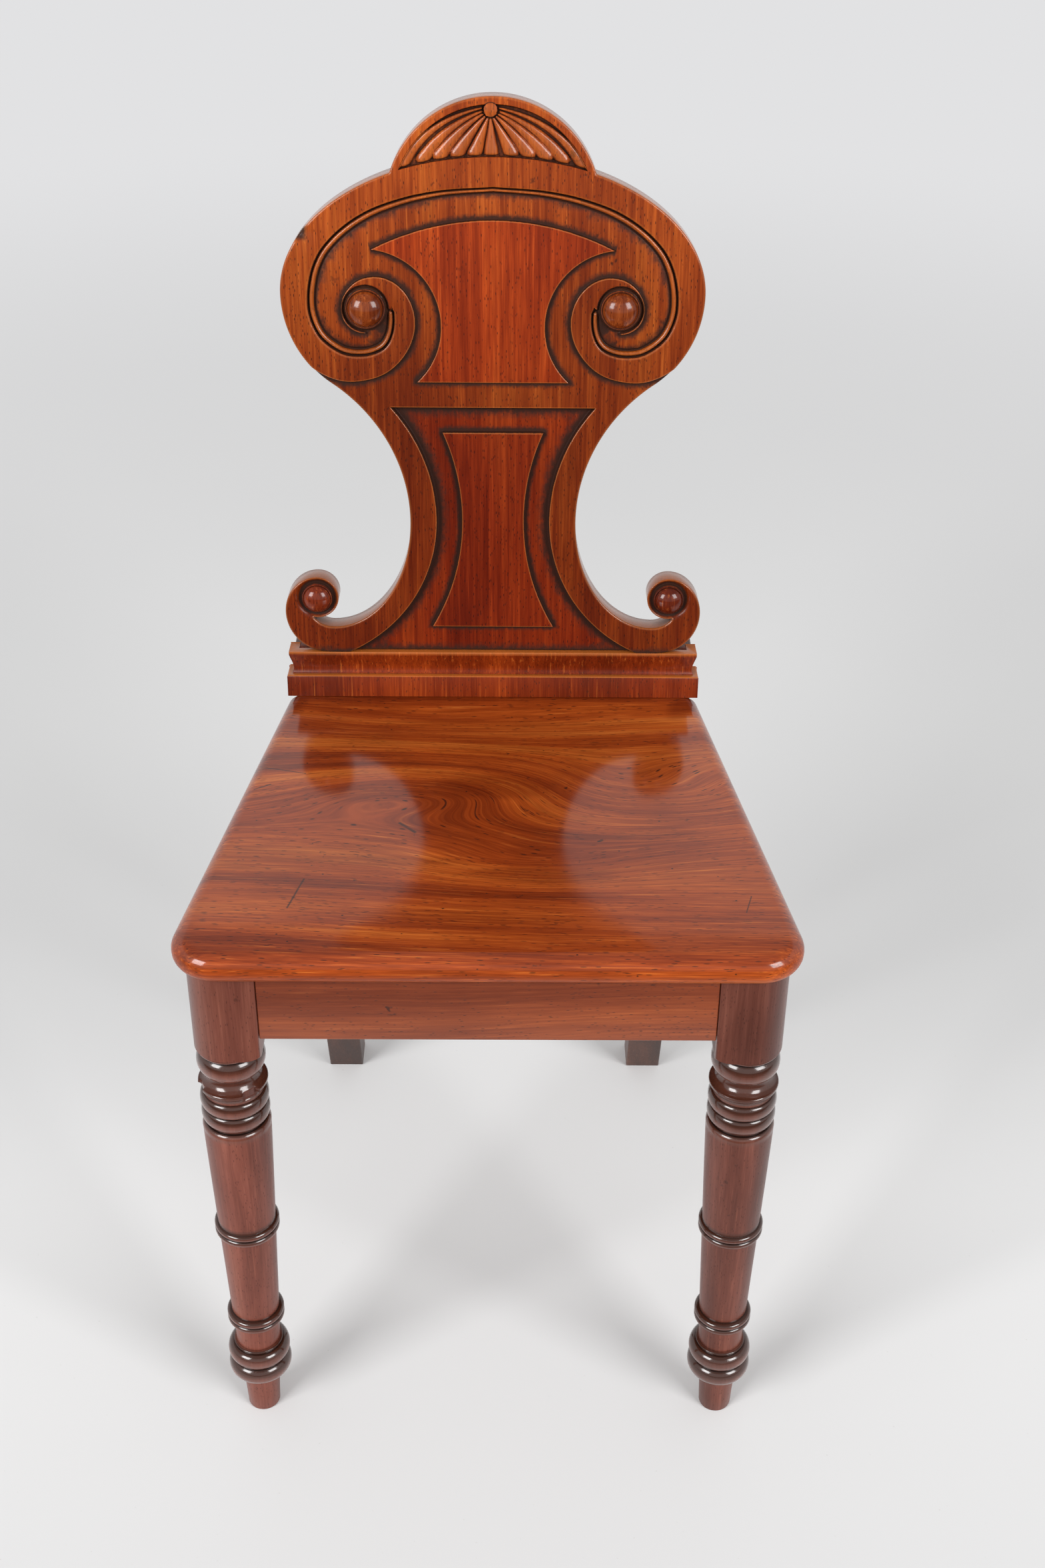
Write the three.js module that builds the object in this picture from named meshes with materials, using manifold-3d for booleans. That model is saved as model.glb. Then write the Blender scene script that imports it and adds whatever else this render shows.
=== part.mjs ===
import * as THREE from 'three';
import { mergeVertices } from 'three/addons/utils/BufferGeometryUtils.js';
import Module from 'manifold-3d';

// A hall chair of solid mahogany, in millimetres.
// It stands on the floor at z = 0 with its front towards -Y, centred on x = 0 and y = 0.

const wasm = await Module();
wasm.setup();

// Driving sizes of the whole chair
const seatHeight = 450;
const overallDepth = 440;
const backLength = 434.5;
const backRake = THREE.MathUtils.degToRad(6.6);
const jointGap = 0.3;
const overrun = 12;

// Seat board
const seatFrontWidth = 414.8;
const seatRearWidth = 311.4;
const seatDepth = 322;
const seatThickness = 22;
const seatNosing = 10.6;
const seatCornerRadius = 30;
const seatFrontOverhang = 8.5;
const seatSideOverhang = 5;

// Seat rails and their tenons
const railHeight = 50;
const railThickness = 20;
const railSetback = 1;
const tenonThickness = 8;
const tenonShoulder = 8;
const frontTenonLength = 16;
const rearTenonLength = 10;

// Front legs
const frontLegInset = 35.9;
const blockWidth = 46.5;
const blockHeight = 69.5;
const blockShoulder = 8;
const blockShoulderReach = 11;
const legTurning = {
  toeHeight: 39,
  toeChamfer: 1,
  toeRadius: 11.7,
  toeTopRadius: 13.6,
  lowerTorusHeight: 15.5,
  lowerTorusRadius: 23.1,
  upperTorusHeight: 14.5,
  upperTorusRadius: 22.7,
  filletHeight: 2.6,
  filletRadius: 18,
  neckHeight: 22,
  neckRadius: 16.2,
  lowerCollarHeight: 10,
  lowerCollarRadius: 20.7,
  shaftFootRadius: 17.2,
  midCollarHeight: 10,
  midCollarRadius: 22.8,
  shaftTopRadius: 23.4,
  shaftShoulder: 4,
  quirkHeight: 2,
  quirkRadius: 20.4,
  beadHeight: 12,
  beadRadius: 23.3,
  coveHeight: 7,
  rimEdge: 2,
  rimRadius: 23.3,
  dishHeight: 8,
  dishNeckHeight: 1.5,
  dishNeckRadius: 16.5,
  topBeadHeight: 20,
  topBeadRadius: 23.1,
};
const lowerShaftShare = 0.458;
const grooveShare = 0.9;

// Rear legs
const rearLegInset = 19.2;
const rearLegWidth = 30;
const rearFootDepth = 30;
const rearStubDepth = 22;
const rearStubRise = 28;
const rearKneeDrop = 80;
const rearSweepShare = 0.3;

// Back board, measured along its own face from the top of the seat
const backThickness = 19;
const borderRise = 2.5;
const headHalfWidth = 146.8;
const headDrop = 130.5;
const headRise = 92;
const headSideRadius = 77;
const crestRadius = 73.8;
const waistHalfWidth = 60.2;
const waistShare = 0.32;
const loopHalfWidth = 58.9;
const loopFootLevel = 55.9;
const loopEndRadius = 18;
const scrollReach = 154.4;
const scrollWidestLevel = 67.6;
const lowerEyeX = 130.4;
const lowerEyeLevel = 79.1;
const lowerEyeRadius = 15.8;
const scrollFootX = 124;
const baseLevel = 35.9;
const baseHalfWidth = 146;
const tongueHalfWidth = 118;

// Carving of the back board
const fieldDepth = 5.5;
const fieldTopDrop = 210.7;
const fieldHalfWidth = 41.3;
const fieldTopHalfWidth = 73.4;
const fieldFootHalfWidth = 107.4;
const pillarRise = 4;
const pillarHalfWidth = 22.6;
const pillarTopHalfWidth = 36.4;
const pillarFootHalfWidth = 44.9;
const pillarTopDrop = 229.5;
const pillarFootLevel = 56.2;
const tabletRise = 2.6;
const tabletTopDrop = 80.3;
const tabletTopRadius = 184.5;
const tabletTipX = 83.6;
const tabletFootDrop = 191.9;
const tabletSideX = 89;
const tabletSideDrop = 152.8;
const tabletSideRadius = 52.9;
const upperEyeX = 88.3;
const upperEyeDrop = 140.4;
const eyeGrooveDepth = 2;
const eyeGrooveWidth = 2.4;
const voluteReach = 56;
const voluteTurnShares = [0, 0.25, 0.5, 0.75, 0.875, 1, 1.125];
const voluteReachShares = [0.307, 0.295, 0.366, 0.607, 0.764, 0.892, 0.985];
const beadWidth = 3;
const beadGrooveWidth = 2.2;
const beadGrooveDepth = 1.6;
const beadDrop = 1;
const beadTopDrop = 60.9;
const beadSideX = 125.6;
const beadTurnShares = [0, 0.12, 0.25, 0.375, 0.45, 0.51];
const beadReachShares = [1, 0.92, 0.824, 0.694, 0.54, 0.465];
const fanDepth = 3.6;
const fanRimWidth = 5.1;
const fanFootDrop = 47.5;
const fanFootRise = 8.7;
const fanHubRadius = 5;
const fanHubDrop = 0.5;
const fanLobes = 11;
const fanLobeWidth = 8.6;
const fanLobeRise = 3;
const fanLobeBulgeShare = 0.32;

// Mouldings at the foot of the back
const mouldingReturn = 7.9;
const mouldingDepth = 8;
const cavettoHollow = 3.2;
const cavettoFillet = 2.6;
const plinthHeight = 17;
const plinthStep = 1.6;

// Turned bosses
const upperBossRadius = 13;
const upperBossRise = 9;
const lowerBossRadius = 10.3;
const lowerBossRise = 7.5;
const bossFlange = 1.1;
const bossFlangeHeight = 1.2;
const spigotRadius = 4;
const spigotLength = 8;

// Corner blocks and screws
const cornerBlockLength = 44;
const cornerBlockHeight = 40;
const cornerScrewInset = 8;
const screwRadius = 2.1;
const screwHeadRadius = 4.4;
const screwHeadHeight = 2.6;
const screwTip = 4;
const seatScrewLength = 50;
const backScrewLength = 30;
const backScrewFootDrop = 7;
const backScrewRise = 17;
const railScrewX = 62;
const railScrewDrop = 46;

// Steps round curves
const turnSides = 24;
const bossSides = 20;
const screwSides = 10;
const beadSteps = 5;
const collarSteps = 4;
const coveSteps = 4;
const lobeSteps = 5;
const sweepSteps = 10;
const arcStep = THREE.MathUtils.degToRad(9);

// Places worked out from the sizes
const frontY = -overallDepth / 2;
const backY = frontY + seatDepth;
const seatUnder = seatHeight - seatThickness;
const legX = seatFrontWidth / 2 - frontLegInset;
const legY = frontY + seatFrontOverhang + blockWidth / 2;
const blockFront = legY - blockWidth / 2;
const blockRear = legY + blockWidth / 2;
const railTop = seatUnder - jointGap;
const railFoot = railTop - railHeight;
const boardRear = backThickness;
const carvingRoot = boardRear / 2;
const headLevel = backLength - headDrop;
const waistLevel = backLength * waistShare;
const fieldTopLevel = backLength - fieldTopDrop;
const pillarTopLevel = backLength - pillarTopDrop;
const tabletTopLevel = backLength - tabletTopDrop;
const tabletFootLevel = backLength - tabletFootDrop;
const tabletSideLevel = backLength - tabletSideDrop;
const upperEyeLevel = backLength - upperEyeDrop;
const beadTopLevel = backLength - beadTopDrop;
const fanFootLevel = backLength - fanFootDrop;
const crestLevel = backLength - crestRadius;
const fanRadius = crestRadius - fanRimWidth;
const seatSideSlope = (seatFrontWidth - seatRearWidth) / 2 / seatDepth;
const seatSideX = (y) => seatRearWidth / 2 + seatSideSlope * (backY - y);
const railOuterX = (y) => seatSideX(y) - seatSideOverhang;
const rakeRun = Math.tan(backRake);
const boardRearY = (z) => backY + boardRear / Math.cos(backRake) + (z - seatHeight) * rakeRun;
const rearLegX = seatRearWidth / 2 - rearLegInset;
const rearLegInnerX = rearLegX - rearLegWidth / 2;
const sides = [['left', -1], ['right', 1]];

// Solids from closed meshes

function toSolid(geometry) {
  const bare = geometry.clone();
  bare.deleteAttribute('normal');
  bare.deleteAttribute('uv');
  const welded = mergeVertices(bare);
  const position = welded.attributes.position;
  const corners = [];
  let volume = 0;
  const a = new THREE.Vector3();
  const b = new THREE.Vector3();
  const c = new THREE.Vector3();
  for (let i = 0; i < welded.index.count; i += 3) {
    const face = [0, 1, 2].map((k) => welded.index.getX(i + k));
    if (face[0] === face[1] || face[1] === face[2] || face[2] === face[0]) continue;
    a.fromBufferAttribute(position, face[0]);
    b.fromBufferAttribute(position, face[1]);
    c.fromBufferAttribute(position, face[2]);
    volume += a.dot(b.cross(c));
    corners.push(face);
  }
  const triVerts = new Uint32Array(corners.flatMap((face) => (volume < 0 ? [...face].reverse() : face)));
  const mesh = new wasm.Mesh({ numProp: 3, vertProperties: new Float32Array(position.array), triVerts });
  return new wasm.Manifold(mesh);
}

function toGeometry(solid) {
  const { vertProperties, triVerts } = solid.getMesh();
  const geometry = new THREE.BufferGeometry();
  geometry.setAttribute('position', new THREE.BufferAttribute(vertProperties, 3));
  geometry.setIndex(new THREE.BufferAttribute(triVerts, 1));
  geometry.computeVertexNormals();
  return geometry;
}

const join = (solids) => solids.reduce((whole, solid) => whole.add(solid));
const cut = (solid, cutters) => cutters.reduce((rest, cutter) => rest.subtract(cutter), solid);

// Outlines

function arc(x, y, radiusX, radiusY, from, to, steps = Math.ceil(Math.abs(to - from) / arcStep)) {
  const points = [];
  for (let i = 0; i <= steps; i++) {
    const angle = from + ((to - from) * i) / steps;
    points.push(new THREE.Vector2(x + radiusX * Math.cos(angle), y + radiusY * Math.sin(angle)));
  }
  return points;
}

function outline(points) {
  const kept = points.filter((p, i) => p.distanceTo(points[(i + 1) % points.length]) > jointGap / 2);
  return new THREE.Shape(kept);
}

const mirrored = (points) => points.map((p) => new THREE.Vector2(-p.x, p.y)).reverse();

// A shape drawn in plan, standing from one height to another
function upright(shape, low, high) {
  const geometry = new THREE.ExtrudeGeometry(shape, { depth: high - low, bevelEnabled: false });
  return geometry.translate(0, 0, low);
}

// A shape drawn on the face of the back board, from a depth behind its face to a deeper one
function facing(shape, front, rear) {
  const geometry = new THREE.ExtrudeGeometry(shape, { depth: rear - front, bevelEnabled: false });
  return geometry.rotateX(Math.PI / 2).translate(0, rear, 0);
}

// A shape drawn from the side, y across and z up, is extruded along X
const sideways = new THREE.Matrix4().makeBasis(new THREE.Vector3(0, 1, 0), new THREE.Vector3(0, 0, 1),
  new THREE.Vector3(1, 0, 0));

function box(x0, x1, y0, y1, z0, z1) {
  const geometry = new THREE.BoxGeometry(x1 - x0, y1 - y0, z1 - z0);
  return geometry.translate((x0 + x1) / 2, (y0 + y1) / 2, (z0 + z1) / 2);
}

function turned(profile, segments) {
  return new THREE.LatheGeometry(profile, segments).rotateX(Math.PI / 2);
}

// The back board leans about the line where its face meets the top of the seat
const leanMatrix = new THREE.Matrix4().makeTranslation(0, backY, seatHeight)
  .multiply(new THREE.Matrix4().makeRotationX(-backRake));
const uprightMatrix = leanMatrix.clone().invert();
const leaned = (geometry) => geometry.clone().applyMatrix4(leanMatrix);
const unleaned = (geometry) => geometry.clone().applyMatrix4(uprightMatrix);

// Colours of the wood and the metal

function wood(color, roughness) {
  return new THREE.MeshStandardMaterial({ color, roughness, metalness: 0 });
}
const backWood = () => wood(0x9a4318, 0.28);
const seatWood = () => wood(0xa5562c, 0.3);
const legWood = () => wood(0x7d4434, 0.3);
const rearWood = () => wood(0x5d4238, 0.45);
const blockWood = () => wood(0x8a6a4c, 0.7);
const steel = () => new THREE.MeshStandardMaterial({ color: 0x77726a, roughness: 0.4, metalness: 1 });

function piece(name, geometry, material) {
  const mesh = new THREE.Mesh(geometry, material);
  mesh.name = name;
  return mesh;
}

// Screws: the head's top at the origin, the tip along +Z

function screwProfile(length, clearance) {
  const head = screwHeadRadius + clearance;
  const shank = screwRadius + clearance;
  return [
    new THREE.Vector2(0, -clearance),
    new THREE.Vector2(head, -clearance),
    new THREE.Vector2(shank, screwHeadHeight),
    new THREE.Vector2(shank, length - screwTip),
    new THREE.Vector2(0, length + clearance),
  ];
}

function screw(length, clearance, matrix) {
  return turned(screwProfile(length, clearance), screwSides).applyMatrix4(matrix);
}

const seatScrewPlaces = new Map();
const backScrewPlaces = new Map();

// Seat rails with a tenon at each end

const tenonFoot = railFoot + tenonShoulder;
const tenonTop = railTop - tenonShoulder;
const frontRailRear = blockFront + railSetback + railThickness;
const frontTenonY = blockFront + railSetback + railThickness / 2;

function frontRailTenon(side, clearance) {
  const shoulder = side * (legX - blockWidth / 2 - jointGap);
  const tip = shoulder + side * (frontTenonLength + clearance);
  const half = tenonThickness / 2 + clearance;
  const root = shoulder - side * (overrun - clearance);
  return box(Math.min(root, tip), Math.max(root, tip), frontTenonY - half, frontTenonY + half,
    tenonFoot - clearance, tenonTop + clearance);
}

function frontRail() {
  const half = legX - blockWidth / 2 - jointGap;
  const body = box(-half, half, blockFront + railSetback, frontRailRear, railFoot, railTop);
  return join([body, frontRailTenon(-1, 0), frontRailTenon(1, 0)].map(toSolid));
}

// Places across a side rail, measured inwards from its outer face
const sideRailSkew = Math.cos(Math.atan(seatSideSlope));
const sideRailX = (y, inwards) => railOuterX(y) - inwards / sideRailSkew;

function sideStrip(side, fromY, toY, outer, inner) {
  const points = [
    new THREE.Vector2(side * sideRailX(fromY, outer), fromY),
    new THREE.Vector2(side * sideRailX(toY, outer), toY),
    new THREE.Vector2(side * sideRailX(toY, inner), toY),
    new THREE.Vector2(side * sideRailX(fromY, inner), fromY),
  ];
  return new THREE.Shape(points);
}

function sideRailTenon(side, clearance) {
  const outer = (railThickness - tenonThickness) / 2 - clearance;
  const inner = (railThickness + tenonThickness) / 2 + clearance;
  const fromY = blockRear - frontTenonLength - clearance;
  const toY = boardRearY(tenonFoot) + rearTenonLength + clearance;
  return upright(sideStrip(side, fromY, toY, outer, inner), tenonFoot - clearance, tenonTop + clearance);
}

// Everything behind the board's rear face, less a gap in front of it
function behindBoard(gap) {
  return leaned(box(-seatFrontWidth, seatFrontWidth, boardRear - gap, overallDepth, -seatHeight, backLength));
}

function sideRail(side) {
  const plan = sideStrip(side, blockRear + jointGap, overallDepth / 2, 0, railThickness);
  const body = upright(plan, railFoot, railTop);
  return toSolid(body).subtract(toSolid(behindBoard(0))).add(toSolid(sideRailTenon(side, 0)));
}

const rearRailRear = boardRear + jointGap + rearStubDepth;

function rearRailTenon(side, clearance) {
  const shoulder = side * (rearLegInnerX - jointGap);
  const tip = shoulder + side * (rearTenonLength + clearance);
  const half = tenonThickness / 2 + clearance;
  const middle = rearRailRear - rearStubDepth / 2;
  const root = shoulder - side * (overrun - clearance);
  const foot = (tenonFoot - seatHeight) / Math.cos(backRake);
  return box(Math.min(root, tip), Math.max(root, tip), middle - half, middle + half,
    foot - clearance, foot + tenonTop - tenonFoot + clearance);
}

function rearRail() {
  const half = rearLegInnerX - jointGap;
  const foot = (railFoot - seatHeight) / Math.cos(backRake);
  const body = box(-half, half, boardRear + jointGap, rearRailRear, foot, foot + railHeight);
  return join([body, rearRailTenon(-1, 0), rearRailTenon(1, 0)].map(toSolid));
}

// Front legs: a square block above, turned below

function bead(low, height, radius, root, steps) {
  const middle = low + height / 2;
  return arc(root, middle, radius - root, height / 2, -Math.PI / 2, Math.PI / 2, steps);
}

function frontLegProfile() {
  const t = legTurning;
  const turnedTop = railTop - blockHeight;
  const fixed = t.toeHeight + t.lowerTorusHeight + t.upperTorusHeight + t.filletHeight + t.neckHeight
    + t.lowerCollarHeight + t.midCollarHeight + t.quirkHeight * 2 + t.beadHeight * 2 + t.coveHeight
    + t.rimEdge + t.dishHeight + t.dishNeckHeight + t.topBeadHeight;
  const shaft = turnedTop - fixed;
  const lowerShaft = shaft * lowerShaftShare;
  const points = [new THREE.Vector2(0, 0)];
  let z = 0;
  const point = (radius) => points.push(new THREE.Vector2(radius, z));
  const ring = (height, radius, root, steps = beadSteps) => {
    points.push(...bead(z, height, radius, root, steps));
    z += height;
  };
  point(t.toeRadius - t.toeChamfer);
  points.push(new THREE.Vector2(t.toeRadius, t.toeChamfer));
  z += t.toeHeight;
  point(t.toeTopRadius);
  ring(t.lowerTorusHeight, t.lowerTorusRadius, t.filletRadius);
  ring(t.upperTorusHeight, t.upperTorusRadius, t.filletRadius);
  point(t.filletRadius);
  z += t.filletHeight;
  point(t.filletRadius);
  point(t.neckRadius);
  z += t.neckHeight;
  const shaftRise = (t.shaftTopRadius - t.shaftFootRadius) / (shaft + t.midCollarHeight);
  point(t.neckRadius);
  const lowerRoot = t.lowerCollarRadius * grooveShare;
  ring(t.lowerCollarHeight / 2, t.lowerCollarRadius, lowerRoot, collarSteps);
  ring(t.lowerCollarHeight / 2, t.lowerCollarRadius, lowerRoot, collarSteps);
  point(t.shaftFootRadius);
  z += lowerShaft;
  const midRadius = t.shaftFootRadius + shaftRise * lowerShaft;
  point(midRadius);
  const midRoot = t.midCollarRadius * grooveShare;
  ring(t.midCollarHeight / 2, t.midCollarRadius, midRoot, collarSteps);
  ring(t.midCollarHeight / 2, t.midCollarRadius, midRoot, collarSteps);
  point(midRadius);
  z += shaft - lowerShaft - t.shaftShoulder;
  point(t.shaftTopRadius);
  points.push(...arc(t.quirkRadius, z, t.shaftTopRadius - t.quirkRadius, t.shaftShoulder,
    0, Math.PI / 2, coveSteps));
  z += t.shaftShoulder + t.quirkHeight;
  point(t.quirkRadius);
  ring(t.beadHeight, t.beadRadius, t.quirkRadius);
  ring(t.beadHeight, t.beadRadius, t.quirkRadius);
  points.push(...arc(t.rimRadius, z, t.rimRadius - t.quirkRadius, t.coveHeight,
    Math.PI, Math.PI / 2, coveSteps));
  z += t.coveHeight + t.rimEdge;
  point(t.rimRadius);
  points.push(...arc(t.rimRadius, z + t.dishHeight, t.rimRadius - t.dishNeckRadius, t.dishHeight,
    -Math.PI / 2, -Math.PI, coveSteps));
  z += t.dishHeight + t.dishNeckHeight;
  point(t.dishNeckRadius);
  ring(t.topBeadHeight, t.topBeadRadius, t.dishNeckRadius);
  point(t.quirkRadius);
  z += t.quirkHeight;
  point(t.quirkRadius);
  points.push(new THREE.Vector2(t.quirkRadius, z + overrun), new THREE.Vector2(0, z + overrun));
  return points;
}

function blockPlan(side) {
  const half = blockWidth / 2;
  const points = [
    new THREE.Vector2(-half, -half),
    ...arc(0, 0, half, half, -Math.PI / 2, 0),
    new THREE.Vector2(half, half),
    new THREE.Vector2(-half, half),
  ];
  return outline(side > 0 ? points : mirrored(points));
}

function blockTurning() {
  const low = railTop - blockHeight;
  const corner = blockWidth;
  const start = corner / Math.SQRT2 - blockShoulderReach;
  const points = [
    new THREE.Vector2(0, low),
    ...arc(start, low + blockShoulder, blockShoulderReach, blockShoulder, -Math.PI / 2, 0, beadSteps),
    new THREE.Vector2(corner, low + blockShoulder),
    new THREE.Vector2(corner, railTop + overrun),
    new THREE.Vector2(0, railTop + overrun),
  ];
  return turned(points, turnSides);
}

function frontLeg(side) {
  const block = toSolid(upright(blockPlan(side), railTop - blockHeight - overrun, railTop));
  const shaft = toSolid(turned(frontLegProfile(), turnSides));
  const place = new THREE.Matrix4().makeTranslation(-side * legX, -legY, 0);
  const mortises = [frontRailTenon(side, jointGap), sideRailTenon(side, jointGap)];
  const cutters = mortises.map((cutter) => toSolid(cutter.applyMatrix4(place)));
  return cut(block.intersect(toSolid(blockTurning())).add(shaft), cutters);
}

// Rear legs: a swept foot below, a stub up the back of the board above

function rearLegSide() {
  const footRear = overallDepth / 2;
  const footFront = footRear - rearFootDepth;
  const gap = jointGap / Math.cos(backRake);
  const stub = rearStubDepth / Math.cos(backRake);
  const knee = railTop - rearKneeDrop;
  const top = seatHeight + rearStubRise;
  const kneeFront = boardRearY(knee) + gap;
  const sweep = knee * rearSweepShare;
  const front = new THREE.QuadraticBezierCurve(new THREE.Vector2(footFront, 0),
    new THREE.Vector2(kneeFront - sweep * rakeRun, knee - sweep), new THREE.Vector2(kneeFront, knee));
  const rear = new THREE.QuadraticBezierCurve(new THREE.Vector2(kneeFront + rearFootDepth, knee),
    new THREE.Vector2(kneeFront + rearFootDepth - sweep * rakeRun, knee - sweep),
    new THREE.Vector2(footRear, 0));
  const topFront = boardRearY(top) + gap;
  const points = [
    ...front.getPoints(sweepSteps),
    new THREE.Vector2(topFront, top),
    new THREE.Vector2(topFront + stub, top),
    new THREE.Vector2(boardRearY(railFoot) + gap + stub, railFoot),
    ...rear.getPoints(sweepSteps),
  ];
  return outline(points);
}

function rearLeg(side) {
  const depth = rearLegWidth;
  const plate = new THREE.ExtrudeGeometry(rearLegSide(), { depth, bevelEnabled: false });
  plate.applyMatrix4(sideways).translate(side * rearLegX - rearLegWidth / 2, 0, 0);
  const mortises = [sideRailTenon(side, jointGap), leaned(rearRailTenon(side, jointGap))];
  return cut(toSolid(plate), [...mortises, ...backScrewHoles().map(leaned)].map(toSolid));
}

// Corner blocks in the angles of the seat frame

const cornerTop = railTop;
const cornerFoot = cornerTop - cornerBlockHeight;

function cornerPlan(side, front) {
  const inner = legX - blockWidth / 2 - jointGap;
  const touch = jointGap / sideRailSkew;
  const railX = (y) => sideRailX(y, railThickness) - touch;
  if (front) {
    const nearY = frontRailRear + jointGap;
    const notchY = blockRear + jointGap;
    const farY = nearY + cornerBlockLength + blockWidth / 2;
    const points = [
      [inner - cornerBlockLength, nearY], [inner, nearY], [inner, notchY],
      [railX(notchY), notchY], [railX(farY), farY],
    ];
    return new THREE.Shape(points.map(([x, y]) => new THREE.Vector2(side * x, y)));
  }
  const nearY = backY + overrun;
  const farY = nearY - overrun - cornerBlockLength;
  const reachX = railX(nearY) - cornerBlockLength - overrun;
  const points = [[railX(farY), farY], [railX(nearY), nearY], [reachX, nearY]];
  return new THREE.Shape(points.map(([x, y]) => new THREE.Vector2(side * x, y)));
}

// Everything behind the board's front face, less a gap in front of it
function behindFace(gap) {
  return leaned(box(-seatFrontWidth, seatFrontWidth, -gap, overallDepth, -seatHeight, backLength));
}

function cornerScrew(side, front) {
  const inset = cornerScrewInset;
  const x = front ? legX - blockWidth / 2 + inset : sideRailX(backY, railThickness) - inset;
  const y = front ? blockRear + inset : backY - inset * 2;
  return new THREE.Matrix4().makeTranslation(side * x, y, cornerFoot);
}

function cornerBlock(side, front) {
  const place = cornerScrew(side, front);
  const body = toSolid(upright(cornerPlan(side, front), cornerFoot, cornerTop));
  return cut(body, [toSolid(behindFace(jointGap)), toSolid(screw(seatScrewLength, jointGap, place))]);
}

// Seat board: splayed sides, rounded front corners and edge, cut square against the back board

function seatPlan() {
  const rear = backY + seatNosing * 2;
  const front = frontY;
  const slope = Math.atan(seatSideSlope);
  const r = seatCornerRadius;
  const turn = Math.PI / 2 + slope;
  const inset = r * Math.tan(turn / 2);
  const cornerX = seatSideX(front) - inset;
  const corner = arc(cornerX, front + r, r, r, -Math.PI / 2, slope);
  const half = [new THREE.Vector2(seatSideX(rear), rear), ...corner.reverse()];
  return outline([...half, ...mirrored(half)]);
}

function seatBoard() {
  const slab = new THREE.ExtrudeGeometry(seatPlan(), {
    depth: seatThickness - seatNosing * 2,
    bevelThickness: seatNosing,
    bevelSize: seatNosing,
    bevelOffset: -seatNosing,
    bevelSegments: 4,
  });
  slab.translate(0, 0, seatUnder + seatNosing);
  return cut(toSolid(slab), [behindFace(jointGap), ...seatScrewHoles()].map(toSolid));
}

// Outline of the back board's head, waist and lower scrolls, right half from the top centre down

function headHalf() {
  const sideX = headHalfWidth - headSideRadius;
  const across = headHalfWidth - waistHalfWidth;
  const drop = headLevel - waistLevel;
  const reach = (across * across + drop * drop) / (2 * across);
  const waistRadius = reach - headSideRadius;
  const angle = Math.atan2(-drop, waistHalfWidth + waistRadius - sideX);
  const loopX = waistHalfWidth + loopHalfWidth;
  const endLevel = loopFootLevel + loopEndRadius;
  const notch = Math.asin((lowerEyeX - loopX) / lowerEyeRadius) / 2;
  const eyeTop = lowerEyeLevel + lowerEyeRadius;
  return [
    ...arc(0, headLevel, headHalfWidth, headRise, Math.PI / 2, 0),
    ...arc(sideX, headLevel, headSideRadius, headSideRadius, 0, angle).slice(1),
    ...arc(waistHalfWidth + waistRadius, waistLevel, waistRadius, waistRadius, angle + Math.PI, Math.PI),
    ...arc(loopX, waistLevel, loopHalfWidth, waistLevel - loopFootLevel, Math.PI, Math.PI * 1.5).slice(1),
    ...arc(loopX, endLevel, loopEndRadius, loopEndRadius, -Math.PI / 2, -Math.PI / 2 + notch * 2),
    ...arc(lowerEyeX, lowerEyeLevel, lowerEyeRadius, lowerEyeRadius,
      -Math.PI / 2 + notch / 2, -Math.PI * 1.5),
    ...arc(lowerEyeX, scrollWidestLevel, scrollReach - lowerEyeX, eyeTop - scrollWidestLevel,
      Math.PI / 2, 0).slice(1),
    ...arc(scrollFootX, scrollWidestLevel, scrollReach - scrollFootX, scrollWidestLevel - baseLevel,
      0, -Math.PI / 2).slice(1),
    new THREE.Vector2(scrollFootX, baseLevel - overrun),
  ];
}

function boardBlank() {
  const half = headHalf();
  const head = facing(outline([...half, ...mirrored(half)]), -borderRise, boardRear);
  const crest = facing(new THREE.Shape(arc(0, crestLevel, crestRadius, crestRadius, 0, Math.PI)),
    -borderRise, boardRear);
  const base = box(-baseHalfWidth, baseHalfWidth, mouldingDepth, boardRear, -seatThickness / 2, baseLevel);
  const shoulders = box(-baseHalfWidth, baseHalfWidth, 0, boardRear, -seatThickness * 2, 0);
  const tongue = box(-tongueHalfWidth, tongueHalfWidth, 0, boardRear, -seatHeight / 2, -seatThickness / 2);
  const underSeat = box(-seatFrontWidth, seatFrontWidth, 0, overallDepth, 0, seatUnder);
  const underRail = box(-seatFrontWidth, seatFrontWidth, 0, overallDepth, 0, railFoot);
  const rebate = box(-seatFrontWidth, seatFrontWidth, -overrun, mouldingDepth, 0, baseLevel);
  const top = join([head, crest].map(toSolid)).subtract(toSolid(rebate));
  const foot = toSolid(shoulders).subtract(toSolid(unleaned(underSeat)));
  return join([top, toSolid(base), foot, toSolid(tongue).subtract(toSolid(unleaned(underRail)))]);
}

// A waisted figure: its half widths at the waist, the top and the foot, joined by arcs
const arcRadius = (bulge, run) => (bulge * bulge + run * run) / (2 * bulge);

function waisted(halfWidth, topHalfWidth, footHalfWidth, topLevel, footLevel) {
  const upperRadius = arcRadius(topHalfWidth - halfWidth, topLevel - waistLevel);
  const lowerRadius = arcRadius(footHalfWidth - halfWidth, waistLevel - footLevel);
  const upperX = halfWidth + upperRadius;
  const lowerX = halfWidth + lowerRadius;
  const up = Math.asin((topLevel - waistLevel) / upperRadius);
  const down = Math.asin((waistLevel - footLevel) / lowerRadius);
  const half = [
    ...arc(upperX, waistLevel, upperRadius, upperRadius, Math.PI - up, Math.PI),
    ...arc(lowerX, waistLevel, lowerRadius, lowerRadius, Math.PI, Math.PI + down).slice(1),
  ];
  return outline([...half, ...mirrored(half)]);
}

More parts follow.
